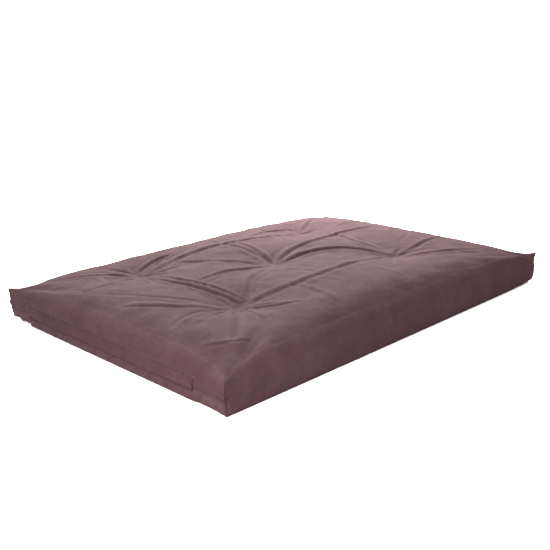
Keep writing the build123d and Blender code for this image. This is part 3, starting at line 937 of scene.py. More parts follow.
on_top = (cover_plan[:, 2] < 0.03) & (cover_points[:, 2] > 0.05)
top_places = cover_plan[on_top][:, :2]
crease_height = np.zeros(len(top_places))
origin = np.array([-half_x, -half_y])
for knots, depth_mm, width_mm in CREASES:
    world_knots = origin + np.array(knots) * 2 * half_x
    crease_height += crease_field(
        top_places, world_knots, CREASE_GAIN * depth_mm / 1000, WIDTH_GAIN * width_mm / 1000
    )
for tuft in tufts:
    turn = chance.uniform(0, 2 * math.pi)
    for ray in range(STARS_PER_TUFT):
        angle = turn + 2 * math.pi * (ray + chance.uniform(-0.3, 0.3)) / STARS_PER_TUFT
        bend = angle + chance.uniform(-0.35, 0.35)
        length = chance.uniform(0.045, 0.120)
        middle = tuft + length * 0.45 * np.array([math.cos(angle), math.sin(angle)])
        end = middle + length * 0.55 * np.array([math.cos(bend), math.sin(bend)])
        start = tuft + 0.008 * np.array([math.cos(angle), math.sin(angle)])
        crease_height += crease_field(
            top_places, [start, middle, end], chance.uniform(0.0008, 0.0020), chance.uniform(0.0045, 0.0075)
        )
for _ in range(SCATTERED):
    spot = chance.uniform(-0.9, 0.9, 2) * (half_x, half_y)
    towards = tufts[np.linalg.norm(tufts - spot, axis=1).argmin()] - spot
    angle = math.atan2(towards[1], towards[0]) + chance.normal(0, 0.5)
    length = chance.uniform(0.04, 0.13)
    ray = np.array([math.cos(angle), math.sin(angle)])
    bow = np.array([-ray[1], ray[0]]) * chance.uniform(-0.12, 0.12) * length
    crease_height += crease_field(
        top_places, [spot, spot + ray * length / 2 + bow, spot + ray * length],
        chance.uniform(0.0004, 0.0012), chance.uniform(0.004, 0.007)
    )
crease_height = DEEPEST * np.tanh(crease_height / DEEPEST)
print("creases reach from", round(float(crease_height.min()), 4), "to", round(float(crease_height.max()), 4))

# %% [markdown]
# ## Soft wrinkles
# Washed canvas is never quite smooth.  Broad, shallow waves run over the whole cover, and
# short puckers pull at the seams, where the thread has drawn the cloth up.

# %% Wrinkles and seam puckers
SEAM_DEPTH = 0.0016
SEAM_HALF = 0.0030
PUCKER = 0.0008
WAVE = 0.0011
WALL_WAVE = 0.0013


def waves(a, b, seed, count, low, high):
    """Sum of a few sine waves with seeded directions; it stays between about -1 and 1."""
    pick = np.random.default_rng(seed)
    total = np.zeros_like(a)
    for _ in range(count):
        angle = pick.uniform(0, math.pi)
        scale = pick.uniform(low, high)
        sway = pick.uniform(0, 2 * math.pi)
        total += np.sin(scale * (a * math.cos(angle) + b * math.sin(angle)) + sway
                        + 0.9 * np.sin(0.37 * scale * (b * math.cos(angle) - a * math.sin(angle))))
    return total / math.sqrt(count * 2)


seam_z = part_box("end_seam_thread")[0][2] - 0.005
at_x, at_y, at_z = cover_points.T
lift = np.zeros(len(cover_points))
lift[on_top] += crease_height
broad = waves(cover_plan[:, 0], cover_plan[:, 1], 5, 9, 35, 95)
fine = waves(cover_plan[:, 0], cover_plan[:, 1] + 3 * cover_plan[:, 2], 8, 12, 130, 330)
freedom = smooth_step((at_z - 0.004) / 0.020) * np.where(cover_plan[:, 2] > 0.9, 0, 1)
behind_flap = bay_share(at_y) * (at_x < zip_wall_x + 0.004) * (at_z < 0.060)
freedom = freedom * (1 - behind_flap)
lift += freedom * (WAVE * broad + 0.00015 * fine)
hanging = freedom * smooth_step(cover_plan[:, 2] / 0.010) * np.exp(-(((at_z - 0.045) / 0.034) ** 2))
run = np.where(np.abs(np.abs(cover_plan[:, 0]) - half_x) < 1e-4, cover_plan[:, 1], cover_plan[:, 0])
lift += hanging * WALL_WAVE * waves(run + 0.45 * at_z, at_z, 15, 9, 28, 90)

seams = [
    ("end", np.abs(at_x - half_x) < 0.02, at_y, seam_z, 1.0),
    ("back", np.abs(at_y - half_y) < 0.02, at_x, seam_z, 1.0),
    ("zip", np.abs(at_x + half_x) < 0.02, at_y, chain_z, 1 - bay_share(at_y)),
]
seam_depth = np.zeros(len(cover_points))
for name, here, along, height, share in seams:
    gap = np.abs(at_z - height)
    groove = np.exp(-((gap / SEAM_HALF) ** 2)) * here * share
    welt = np.exp(-(((at_z - height - 0.0055) / 0.0032) ** 2)) * here * share
    pucker = waves(along, along * 0, 21, 6, 260, 620) * np.exp(-gap / 0.011) * here * share
    lift += -SEAM_DEPTH * groove + 0.0009 * welt + PUCKER * pucker
    seam_depth += groove
corner_gap = np.full(len(cover_points), 1.0)
for column in corner_column.values():
    corner_x, corner_y = ring_nominal[column]
    corner_gap = np.minimum(corner_gap, np.hypot(at_x - corner_x, at_y - corner_y))
on_wall = (cover_plan[:, 2] > 0.004) & (cover_plan[:, 2] < 0.9) & (at_z > 0.006)
low_down = 0.3 + 0.7 * np.exp(-((at_z / 0.040) ** 4))
pull = waves(at_z, at_z * 0, 33, 5, 220, 560) * np.exp(-corner_gap / 0.014) * on_wall
groove = np.exp(-(((corner_gap - 0.006) / 0.0025) ** 2)) * on_wall * low_down
lift += 0.0007 * pull - 0.0010 * groove
seam_depth += 0.7 * groove

strip_here = (at_x < -half_x + 0.016) * smooth_step((0.030 - at_z) / 0.006) * smooth_step(at_z / 0.006)
strip_wave = waves(at_y + 0.7 * at_z, at_z, 44, 8, 90, 280)
lift += strip_here * 0.0022 * strip_wave
cover_points = cover_points + cover_normals * lift[:, None]
cover_points[:, 2] = np.maximum(cover_points[:, 2], 0.0)
write_points(cover.data, cover_points)
coarse_points = cover_points[: len(shell_points)]
coarse_normals = cover_normals[: len(shell_points)]
drift = np.linalg.norm(coarse_points - shell_points, axis=1).max()
print("coarse points moved at most", round(float(drift), 4))
print("wrinkles move the cloth by up to", round(float(np.abs(lift).max()), 4))

# %% [markdown]
# ## Wear and painted light
# Each point carries one number from 0 to 1 for its tone: crease ridges are paler, partly rubbed and
# partly a painted highlight, crease valleys are deeper as painted shade, and seam lines, which hold the
# dye, are deeper.  The fold under the lip is a painted shadow, the strip by the floor is painted palest
# for the light that the floor bounces up, the hinge line and the ends of the flap's bay are painted a
# little paler to lift the shade in their grooves, and the foot of the front wall holds a thin painted
# contact shadow.

# %% Wear and painted light values, and the cloth's cut edge
HINGE_PAINTED_LIGHT = 0.14
END_PAINTED_LIGHT = 0.16
FOOT_SHADOW_HEIGHT = 0.0050
FOOT_PAINTED_SHADOW = 0.45

wear_and_painted_light = np.full(len(cover_points), 0.5)
# Painted highlight and shade: crease ridges are painted paler, on top of their rubbed wear, and crease
# valleys darker.
wear_and_painted_light[on_top] += np.clip(crease_height * 70, -0.28, 0.14)
wear_and_painted_light += freedom * 0.05 * broad - 0.22 * np.clip(seam_depth, 0, 1)
shoulder = np.exp(-((cover_plan[:, 2] / 0.010) ** 2)) * (np.minimum(
    half_x - np.abs(cover_plan[:, 0]), half_y - np.abs(cover_plan[:, 1])) < 0.012)
wear_and_painted_light += 0.10 * shoulder
# Painted shadow: the strip just under the flap's lip is darkened where the lip shades it.  Painted light:
# the strip below the zip is painted paler for the light that the floor bounces up, with a little random
# variation.
lip_shade = bay_share(at_y) * (at_x < -half_x + 0.016) * np.exp(-(((at_z - 0.0275) / 0.0052) ** 2))
wear_and_painted_light += strip_here * (0.16 + 0.10 * strip_wave) - 0.62 * lip_shade
on_zip_wall = (at_x < -half_x + 0.016) & (at_z > 0.020)
# Painted light: the wall along the flap's hinge and just past both ends of the flap is painted paler to lift
# the shade in those grooves.
hinge_painted_light = bay_share(at_y) * np.exp(-(((at_z - flap_high[2]) / 0.0026) ** 2))
past_end = np.minimum(np.abs(at_y - flap_low[1]), np.abs(at_y - flap_high[1]))
end_painted_light = np.exp(-((past_end / 0.0035) ** 2)) * (at_z < flap_high[2] + 0.003)
wear_and_painted_light += on_zip_wall * (HINGE_PAINTED_LIGHT * hinge_painted_light + END_PAINTED_LIGHT * end_painted_light)
# Painted shadow: a thin dark band along the foot of the front wall stands in for the contact shadow on the
# floor.
foot_shadow_mask = (at_y < -half_y + 0.012) * np.exp(-((at_z / FOOT_SHADOW_HEIGHT) ** 2))
wear_and_painted_light -= FOOT_PAINTED_SHADOW * foot_shadow_mask
cover.data.attributes.new("wear_and_painted_light", "FLOAT", "POINT").data.foreach_set(
    "value", np.clip(wear_and_painted_light, 0, 1).astype(np.float32)
)

EDGE_FOLD = 0.0011
weld = bmesh.new()
weld.from_mesh(cover.data)
open_edges = [edge for edge in weld.edges if edge.is_boundary]
fold = bmesh.ops.extrude_edge_only(weld, edges=open_edges)
for vertex in [part for part in fold["geom"] if isinstance(part, bmesh.types.BMVert)]:
    vertex.co.x += EDGE_FOLD
weld.to_mesh(cover.data)
weld.free()
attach(cover, "root")
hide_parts("cover_cloth")
print("opening's folded edge has", len(open_edges), "edges")

# %% [markdown]
# ## More finishes
# Thread, ribbon, ticking, felt, fibre, twine, tape, nylon and metal each get their own
# small tree.  They share one recipe: a noise for the tone and a noise or weave for the bump.

# %% Other finishes


def textured_finish(name, dark, pale, scale, bump_size, bump_strength=0.4, stretch=(1, 1, 1), **values):
    """A finish whose tone and relief both come from noise in the piece's own space."""
    finish, tree, shader = new_finish(name, **values)
    place = add_node(tree, "ShaderNodeTexCoord")
    frame_map = add_node(tree, "ShaderNodeMapping", {"Vector": place.outputs["Object"], "Scale": stretch})
    tone = add_node(
        tree, "ShaderNodeTexNoise", {"Vector": frame_map.outputs[0], "Scale": scale, "Detail": 6.0}
    )
    ramp = add_node(tree, "ShaderNodeValToRGB", {"Fac": tone.outputs["Fac"]})
    ramp.color_ramp.elements[0].position = 0.30
    ramp.color_ramp.elements[0].color = dark
    ramp.color_ramp.elements[1].position = 0.70
    ramp.color_ramp.elements[1].color = pale
    tree.links.new(ramp.outputs["Color"], shader.inputs["Base Color"])
    relief = add_node(
        tree, "ShaderNodeTexNoise", {"Vector": frame_map.outputs[0], "Scale": scale * 3.1, "Detail": 4.0}
    )
    bump = add_node(
        tree, "ShaderNodeBump",
        {"Height": relief.outputs["Fac"], "Strength": bump_strength, "Distance": bump_size},
    )
    tree.links.new(bump.outputs["Normal"], shader.inputs["Normal"])
    return finish


def banded_finish(name, dark, pale, axis, bands, bump_size, sharp=0.5, **values):
    """A woven or ribbed finish: bands along one axis, broken up by noise."""
    finish, tree, shader = new_finish(name, **values)
    place = add_node(tree, "ShaderNodeTexCoord")
    wave = add_node(
        tree, "ShaderNodeTexWave",
        {"Vector": place.outputs["Object"], "Scale": bands, "Distortion": sharp, "Detail": 2.0,
         "Detail Scale": 3.0},
        wave_type="BANDS", bands_direction=axis,
    )
    cross = add_node(
        tree, "ShaderNodeTexNoise", {"Vector": place.outputs["Object"], "Scale": 900.0, "Detail": 3.0}
    )
    mixed = add_node(tree, "ShaderNodeMath", {0: wave.outputs["Fac"], 1: cross.outputs["Fac"]},
                     operation="MULTIPLY")
    ramp = add_node(tree, "ShaderNodeValToRGB", {"Fac": mixed.outputs[0]})
    ramp.color_ramp.elements[0].color = dark
    ramp.color_ramp.elements[1].position = 0.65
    ramp.color_ramp.elements[1].color = pale
    tree.links.new(ramp.outputs["Color"], shader.inputs["Base Color"])
    bump = add_node(
        tree, "ShaderNodeBump", {"Height": mixed.outputs[0], "Strength": 0.5, "Distance": bump_size}
    )
    tree.links.new(bump.outputs["Normal"], shader.inputs["Normal"])
    return finish


thread_paint = textured_finish("seam_thread", rgba(0.11, 0.06, 0.068), rgba(0.24, 0.145, 0.155), 900.0,
                               0.0002, Roughness=0.55, Sheen_Weight=0.2)
tape_paint = banded_finish("zip_tape", rgba(0.085, 0.048, 0.053), rgba(0.20, 0.12, 0.128), "Z", 260.0,
                           0.0003, Roughness=0.75)
coil_paint = textured_finish("zip_coil", rgba(0.10, 0.058, 0.064), rgba(0.20, 0.125, 0.132), 300.0,
                             0.0001, 0.2, Roughness=0.32, Specular_IOR_Level=0.5)
metal_paint = textured_finish("zip_metal", rgba(0.33, 0.32, 0.31), rgba(0.56, 0.55, 0.53), 260.0, 0.00008,
                              0.35, stretch=(1, 1, 5), Metallic=0.95, Roughness=0.34)
ribbon_paint = banded_finish("label_ribbon", rgba(0.62, 0.60, 0.57), rgba(0.86, 0.85, 0.82), "Z", 420.0,
                             0.0001, Roughness=0.45, Sheen_Weight=0.2)
ticking_paint = banded_finish("ticking", rgba(0.55, 0.52, 0.46), rgba(0.80, 0.77, 0.70), "DIAGONAL", 120.0,
                              0.0004, 1.5, Roughness=0.9)
fibre_paint = textured_finish("fibre", rgba(0.72, 0.72, 0.71), rgba(0.93, 0.93, 0.92), 90.0, 0.003, 1.0,
                              Roughness=1.0, Sheen_Weight=0.5)
felt_paint = textured_finish("felt", rgba(0.30, 0.28, 0.27), rgba(0.47, 0.45, 0.43), 500.0, 0.0006, 0.9,
                             Roughness=1.0, Sheen_Weight=0.3)
twine_paint = textured_finish("tuft_twine", rgba(0.50, 0.45, 0.36), rgba(0.74, 0.69, 0.58), 700.0, 0.0002,
                              0.6, Roughness=0.8)
print("finishes:", sorted(paint.name for paint in bpy.data.materials))

# %% [markdown]
# ## Tubes and stitches
# Thread, twine and the zip's coils are all thin round strands.  One helper sweeps a ring of
# points along a line and closes both ends.

# %% Tube helper


def tube(line, radius, sides=6):
    """Points and faces of a round strand along a line, with pointed ends."""
    line = np.asarray(line, dtype=float)
    ahead = np.gradient(line, axis=0)
    ahead /= np.maximum(np.linalg.norm(ahead, axis=1, keepdims=True), 1e-12)
    guide = np.where(np.abs(ahead[:, :1]) < 0.9, [[1.0, 0, 0]], [[0, 0, 1.0]])
    first = np.cross(ahead, guide)
    first /= np.linalg.norm(first, axis=1, keepdims=True)
    second = np.cross(ahead, first)
    turn = np.linspace(0, 2 * math.pi, sides, endpoint=False)
    size = np.full(len(line), float(radius)) if np.isscalar(radius) else np.asarray(radius)
    rings = (
        line[:, None, :]
        + size[:, None, None] * (np.cos(turn)[None, :, None] * first[:, None, :]
                                 + np.sin(turn)[None, :, None] * second[:, None, :])
    )
    points = np.vstack([rings.reshape(-1, 3), line[:1], line[-1:]])
    count = len(line)
    faces = []
    for ring in range(count - 1):
        for side in range(sides):
            after = (side + 1) % sides
            faces.append((ring * sides + side, ring * sides + after,
                          (ring + 1) * sides + after, (ring + 1) * sides + side))
    start, end = count * sides, count * sides + 1
    for side in range(sides):
        after = (side + 1) % sides
        faces.append((start, after, side, side))
        faces.append((end, (count - 1) * sides + side, (count - 1) * sides + after,
                      (count - 1) * sides + after))
    return points, faces


def gather(name, parts, finish):
    """One object from many point and face lists."""
    points, faces, base = [], [], 0
    for part_points, part_faces in parts:
        points.append(part_points)
        for face in part_faces:
            corners = [base + v for i, v in enumerate(face) if v not in face[:i]]
            faces.append(corners)
        base += len(part_points)
    mesh = bpy.data.meshes.new(name)
    mesh.from_pydata(np.vstack(points).tolist(), [], faces)
    mesh.polygons.foreach_set("use_smooth", [True] * len(mesh.polygons))
    mesh.update()
    mesh.materials.append(finish)
    piece = bpy.data.objects.new(name, mesh)
    bpy.context.scene.collection.objects.link(piece)
    return piece


# %% [markdown]
# ## Seam threads
# A stitch shows as a short raised bead that dips into the cloth at both ends.  Each row is
# laid on the finished cover by casting a ray at it, so the beads follow every pucker.

# %% Stitch rows on the cover
STITCH_PITCH = 0.0034
STITCH_SHARE = 0.72
THREAD_RADIUS = 0.00034

bpy.context.view_layer.update()


def land_on(piece, places, towards):
    """Where rays from these places, cast in one direction, meet a piece; misses stay put."""
    found, facing = [], []
    for place in places:
        hit, spot, normal, _ = piece.ray_cast(Vector(place), Vector(towards), distance=0.12)
        if not hit:
            print("a ray missed at", [round(v, 4) for v in place])
        found.append(spot if hit else Vector(place))
        facing.append(normal if hit else -Vector(towards))
    return np.array([list(v) for v in found]), np.array([list(v) for v in facing])


def stitch_row(line, facing, radius=THREAD_RADIUS):
    """Beads along a line that already lies on the cloth."""
    steps = np.linalg.norm(np.diff(line, axis=0), axis=1)
    travelled = np.concatenate([[0], np.cumsum(steps)])
    count = max(1, int(travelled[-1] / STITCH_PITCH))
    parts = []
    for number in range(count):
        share = np.linspace(0, 1, 5)
        spots = (number + (1 - STITCH_SHARE) / 2 + STITCH_SHARE * share) * travelled[-1] / count
        bead = np.stack([np.interp(spots, travelled, line[:, axis]) for axis in range(3)], axis=-1)
        up = np.stack([np.interp(spots, travelled, facing[:, axis]) for axis in range(3)], axis=-1)
        rise = np.sin(math.pi * share)[:, None] * 0.9 - 0.45
        parts.append(tube(bead + up * rise * radius, radius * (0.45 + 0.55 * np.sin(math.pi * share))))
    return parts


def wall_row(axis, sign, along, height):
    """A row on one wall at a height, from a list of positions along the wall."""
    along = np.asarray(along, dtype=float)
    start = np.empty((len(along), 3))
    start[:, axis] = sign * ((half_x if axis == 0 else half_y) + 0.03)
    start[:, 1 - axis] = along
    start[:, 2] = height
    towards = [0.0, 0.0, 0.0]
    towards[axis] = -sign
    return land_on(cover, start, towards)


def stitched_piece(name, rows):
    parts = []
    for line, facing in rows:
        parts += stitch_row(line, facing)
    piece = gather(name + "_beads", parts, thread_paint)
    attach(piece, "root")
    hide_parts(name)
    return len(parts)


end_low, end_high = (np.array(corner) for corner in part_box("end_seam_thread"))
back_low, back_high = (np.array(corner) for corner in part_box("back_seam_thread"))
tack_low, tack_high = (np.array(corner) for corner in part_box("zip_end_tacks"))
top_row_z = float(np.mean([corner[2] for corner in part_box("flap_topstitching")]))
FINE = 0.0011
end_row = wall_row(0, 1, np.arange(end_low[1], end_high[1], FINE), seam_z + 0.003)
back_row = wall_row(1, 1, np.arange(back_low[0], back_high[0], FINE), seam_z + 0.003)
flap_row = wall_row(0, -1, np.arange(flap_low[1], flap_high[1], FINE), top_row_z)
beads = stitched_piece("end_seam_thread", [end_row])
beads += stitched_piece("back_seam_thread", [back_row])
beads += stitched_piece("flap_topstitching", [flap_row])
zip_rows = [
    wall_row(0, -1, np.arange(rows_low[1], rows_high[1], FINE), chain_z + offset)
    for offset in (-(rows_high[2] - rows_low[2]) / 2 + 0.0003, (rows_high[2] - rows_low[2]) / 2 - 0.0003)
]
beads += stitched_piece("zip_stitching", zip_rows)
tack_rows = []
for spot in (tack_low[1] + 0.0004, tack_low[1] + 0.0012, tack_high[1] - 0.0012, tack_high[1] - 0.0004):
    heights = np.arange(tack_low[2], tack_high[2], FINE)
    start = np.stack([np.full(len(heights), -half_x - 0.03), np.full(len(heights), spot), heights], axis=-1)
    tack_rows.append(land_on(cover, start, (1, 0, 0)))
beads += stitched_piece("zip_end_tacks", tack_rows)
for corner, column in corner_column.items():
    corner_x, corner_y = ring_nominal[column]
    slant = np.array([math.copysign(1, corner_x), math.copysign(1, corner_y), 0]) / math.sqrt(2)
    name = "corner_seam_thread_" + corner
    heights = np.arange(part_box(name)[0][2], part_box(name)[1][2], FINE)
    start = np.array([[corner_x, corner_y, height] for height in heights]) + slant * 0.03
    beads += stitched_piece(name, [land_on(cover, start, -slant)])
print("stitches on the cover:", beads)

# %% [markdown]
# ## The flap over the zip
# The flap is a folded facing of the same canvas.  It is sewn along the line above the zip
# and swells outwards to its lip.  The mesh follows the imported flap's arc, with the fold's
# round lip, a few shallow ripples and a softened end, and it rides on the flap's body.

# %% Flap
FLAP_THICK = 0.0016
FLAP_COLUMNS = 230
ARC_ROWS = 11

hinge_x = flap_high[0] - 0.0008
hinge_z = flap_high[2] - 0.0008
lip_x, lip_z = flap_low[0] + FLAP_THICK / 2, flap_low[2] + FLAP_THICK / 2
chord = np.array([lip_x - hinge_x, lip_z - hinge_z])
sag = chord[0] ** 2 + chord[1] ** 2
arc_radius = sag / (2 * abs(chord[0]))
sweep = math.asin(min(1.0, abs(chord[1]) / arc_radius))
arc_angle = np.linspace(0, 1, ARC_ROWS) * sweep
arc_x = lip_x + arc_radius * (1 - np.cos(sweep - arc_angle))
arc_z = lip_z + arc_radius * np.sin(sweep - arc_angle)
arc_x += (hinge_x - arc_x[0]) * (1 - np.linspace(0, 1, ARC_ROWS))
arc_z += (hinge_z - arc_z[0]) * (1 - np.linspace(0, 1, ARC_ROWS))
along_arc = np.gradient(np.stack([arc_x, arc_z], axis=-1), axis=0)
along_arc /= np.linalg.norm(along_arc, axis=1, keepdims=True)
arc_normal = np.stack([along_arc[:, 1], -along_arc[:, 0]], axis=-1)

flap_y = np.linspace(flap_low[1], flap_high[1], FLAP_COLUMNS)
profile = []
for row in range(ARC_ROWS):
    profile.append((arc_x[row] + arc_normal[row, 0] * FLAP_THICK / 2,
                    arc_z[row] + arc_normal[row, 1] * FLAP_THICK / 2, row / (ARC_ROWS - 1)))
tip = along_arc[-1]
for angle in np.linspace(0, math.pi, 6)[1:-1]:
    out = arc_normal[-1] * math.cos(angle) + tip * math.sin(angle)
    profile.append((arc_x[-1] + out[0] * FLAP_THICK / 2, arc_z[-1] + out[1] * FLAP_THICK / 2, 1.0))
for row in range(ARC_ROWS - 1, -1, -1):
    profile.append((arc_x[row] - arc_normal[row, 0] * FLAP_THICK / 2,
                    arc_z[row] - arc_normal[row, 1] * FLAP_THICK / 2, row / (ARC_ROWS - 1)))
profile = np.array(profile)
around = len(profile)
ripple_here = waves(flap_y, flap_y * 0, 61, 7, 20, 120)
fine_here = waves(flap_y, flap_y * 0, 62, 7, 180, 480)
end_gap = np.minimum(flap_y - flap_low[1], flap_high[1] - flap_y)
end_pull = np.exp(-end_gap / 0.010)
end_ease = np.exp(-((end_gap / 0.030) ** 2))
flap_points = np.empty((FLAP_COLUMNS, around, 3))
for number, (p_x, p_z, out_share) in enumerate(profile):
    push = 0.0007 * out_share * ripple_here + 0.0003 * fine_here * (0.3 + 0.7 * out_share)
    flap_points[:, number, 0] = p_x + push * (1 - end_pull) + 0.0026 * end_ease * out_share
    flap_points[:, number, 1] = flap_y
    flap_points[:, number, 2] = p_z + 0.0006 * out_share * ripple_here + 0.0005 * end_pull * out_share
flap_ids = np.arange(FLAP_COLUMNS * around).reshape(FLAP_COLUMNS, around)
flap_ring = np.hstack([flap_ids, flap_ids[:, :1]])
flap_faces = np.stack(
    [flap_ring[:-1, :-1], flap_ring[:-1, 1:], flap_ring[1:, 1:], flap_ring[1:, :-1]], axis=-1
).reshape(-1, 4).tolist()
for row in range(around // 2 - 1):
    for column, turned in ((0, False), (FLAP_COLUMNS - 1, True)):
        loop = [flap_ids[column, row], flap_ids[column, around - 1 - row],
                flap_ids[column, around - 2 - row], flap_ids[column, row + 1]]
        flap_faces.append([int(v) for v in (loop[::-1] if turned else loop)])
flap = make_object("flap", flap_points.reshape(-1, 3), flap_faces, canvas)
flap_mesh = flap.data
flap_wear_and_painted_light = 0.5 + 0.05 * np.repeat(ripple_here, around)
flap_wear_and_painted_light += 0.06 * np.tile(profile[:, 2] ** 6, FLAP_COLUMNS)
# Painted light: the flap is painted paler along its hinge and at both ends, to lift the shade in the grooves
# there.
flap_wear_and_painted_light += 0.10 * np.tile(np.exp(-profile[:, 2] / 0.10), FLAP_COLUMNS)
flap_wear_and_painted_light += 0.12 * np.repeat(np.exp(-end_gap / 0.0015), around)
flap_mesh.attributes.new("wear_and_painted_light", "FLOAT", "POINT").data.foreach_set(
    "value", np.clip(flap_wear_and_painted_light, 0, 1).astype(np.float32)
)
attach(flap, "zip_flap")
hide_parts("zip_flap")
print("flap spans", np.round(flap_points.min(axis=(0, 1)), 4), np.round(flap_points.max(axis=(0, 1)), 4))

# %% [markdown]
# ## Zip tapes and coils
# Each tape is a narrow ribbed ribbon.  The teeth are one long strand of nylon on each tape,
# wound into flat loops.  The two strands are half a pitch apart, so that their loops mesh.

# %% Tapes


def ribbon(name, low, high, rows, columns, relief, finish):
    """A thin closed ribbon that fills a flat box, with relief on its outer face."""
    across = np.linspace(low[2], high[2], rows)
    along = np.linspace(low[1], high[1], columns)
    grid_along, grid_across = np.meshgrid(along, across, indexing="ij")
    raised = relief(grid_along, grid_across)
    outer = np.stack([np.full_like(grid_along, low[0]) + raised, grid_along, grid_across], axis=-1)
    inner = np.stack([np.full_like(grid_along, high[0]), grid_along, grid_across], axis=-1)
    ids = np.arange(rows * columns).reshape(columns, rows)
    behind = ids + rows * columns
    faces = [tuple(face) for face in grid_faces(ids)[:, ::-1]]
    faces += [tuple(face) for face in grid_faces(behind)]
    edge = list(ids[:, 0]) + list(ids[-1, 1:]) + list(ids[-2::-1, -1]) + list(ids[0, -2:0:-1])
    for number, here in enumerate(edge):
        after = edge[(number + 1) % len(edge)]
        faces.append((here, after, after + rows * columns, here + rows * columns))
    return make_object(name, np.vstack([outer.reshape(-1, 3), inner.reshape(-1, 3)]), faces, finish)


for half in ("upper", "lower"):
    low, high = (np.array(corner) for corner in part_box("zip_tape_" + half))
    tape = ribbon(
        "tape_" + half, low, high, 27, 150,
        lambda y, z: 0.00012 * (1 + np.cos((z - low[2]) * 2 * math.pi / 0.0016)), tape_paint,
    )
    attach(tape, "root")
    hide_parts("zip_tape_" + half)

# %% Coils
COIL_PITCH = 0.0015
STRAND = 0.00030
LOOP_POINTS = 8

for half, turned in (("upper", 1.0), ("lower", -1.0)):
    low, high = (np.array(corner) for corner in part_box("zip_coil_" + half))
    loops = int((high[1] - low[1]) / COIL_PITCH)
    turns = np.arange(loops * LOOP_POINTS + 1) / LOOP_POINTS
    phase = 2 * math.pi * turns
    head_z = chain_z - turned * 0.0006
    foot_z = high[2] - STRAND if turned > 0 else low[2] + STRAND
    swing = (np.cos(phase) + 1) / 2
    coil_z = head_z + turned * STRAND + (foot_z - head_z - turned * STRAND) * (1 - swing)
    coil_x = (low[0] + high[0]) / 2 + (high[0] - low[0] - 2 * STRAND) / 2 * np.sin(phase)
    coil_y = low[1] + STRAND + turns * COIL_PITCH + (COIL_PITCH / 2 if turned < 0 else 0.0)
    coil_y = np.clip(coil_y, low[1] + STRAND, high[1] - STRAND)
    strand = tube(np.stack([coil_x, coil_y, coil_z], axis=-1), STRAND, 5)
    coil = gather("coil_" + half, [strand], coil_paint)
    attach(coil, "root")
    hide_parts("zip_coil_" + half)
print("loops on each coil:", loops)

# %% [markdown]
# ## Zip metal
# Stops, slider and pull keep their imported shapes, which carry the working sizes, and take the
# metal finish.  Their edges stay as sharp as they were packed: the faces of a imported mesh
# don't share their edges, so a bevel modifier finds nothing there to round.

# %% Slider, pull and stops
for name in ("zip_slider", "zip_pull", "zip_top_stops", "zip_bottom_stop"):
    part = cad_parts[name]
    part.data.materials.clear()
    part.data.materials.append(metal_paint)

# %% [markdown]
# ## Care label
# A short length of satin ribbon is caught in the end seam and hangs against the wall.  It is
# blank.  Its free edge curls a little.

# %% Label
label_low, label_high = (np.array(corner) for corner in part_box("care_label"))
label_y = np.linspace(label_low[1], label_high[1], 30)
label_z = np.linspace(label_high[2] - 0.002, label_low[2], 16)
label_start = np.array([[half_x + 0.03, y, z] for y in label_y for z in label_z])
label_spots, _ = land_on(cover, label_start, (-1, 0, 0))
label_spots = label_spots.reshape(30, 16, 3)
hang = np.linspace(0, 1, 16)[None, :]
curl = 0.0006 + 0.0007 * hang**2 + 0.0004 * np.sin(label_y[:, None] * 130) * hang
label_out = np.maximum(label_spots[..., 0], label_spots[..., 0].mean(axis=0)[None, :] - 0.0006) + curl
label_ids = np.arange(30 * 16).reshape(30, 16)
label_front = np.stack([label_out, label_spots[..., 1], label_spots[..., 2]], axis=-1)
label_back = label_front - np.array([0.0003, 0, 0])
label_edge = list(label_ids[:, 0]) + list(label_ids[-1, 1:]) + list(label_ids[-2::-1, -1])
label_edge += list(label_ids[0, -2:0:-1])
label_faces = [tuple(f) for f in grid_faces(label_ids)[:, ::-1]]
label_faces += [tuple(f) for f in grid_faces(label_ids + 480)]
for number, here in enumerate(label_edge):
    after = label_edge[(number + 1) % len(label_edge)]
    label_faces.append((here, after, after + 480, here + 480))
label = make_object(
    "label", np.vstack([label_front.reshape(-1, 3), label_back.reshape(-1, 3)]), label_faces,
    ribbon_paint,
)
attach(label, "root")
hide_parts("care_label")
print("label reaches out to", round(float(label_out.max()), 4), "wall at", round(half_x, 4))

# %% [markdown]
# ## The pad inside
# The pad is a case of ticking around loose fibre, drawn down to its felt washers by the same
# ties.  Its case and its filling are the settled cover moved inwards, so the pad fits the
# cover at every fold.  Each tuft then gets its deeper well.

# %% Ticking case and fibre
PAD_GAP = 0.0052
FILL_GAP = 0.0085
CORNER_DRAW = 0.009
washer_low, washer_high = (np.array(corner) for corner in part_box("tuft_washers_top"))
under_low, under_high = (np.array(corner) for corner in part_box("tuft_washers_bottom"))
SPLIT_ROW = 4


def inner_shell(gap, rough, seed):
    """The closed shell moved inwards, with wells down to the washers."""
    points = coarse_points - coarse_normals * gap
    at = points[:, :2]
    for number, tuft in enumerate(tufts):
        reach = np.exp(-((np.hypot(*(at - tuft).T) / 0.022) ** 2.4))
        upper = points[:, 2] > crown_z / 2
        well_top = washer_low[2] - gap + PAD_GAP - 0.001
        well_foot = under_high[2] + gap - PAD_GAP + 0.0012
        target = np.where(upper, well_top, well_foot)
        points[:, 2] += (target - points[:, 2]) * reach
    bumps = waves(at[:, 0] + points[:, 2], at[:, 1] - points[:, 2], seed, 9, 60, 210)
    points -= coarse_normals * rough * (1 + bumps)[:, None] * 0.5
    for sign_x, sign_y in CORNER_SIGNS.values():
        distance = np.hypot(half_x - sign_x * points[:, 0], half_y - sign_y * points[:, 1])
        draw = CORNER_DRAW * np.exp(-((distance / 0.045) ** 2))
        points[:, 0] -= sign_x * draw
        points[:, 1] -= sign_y * draw
    return points


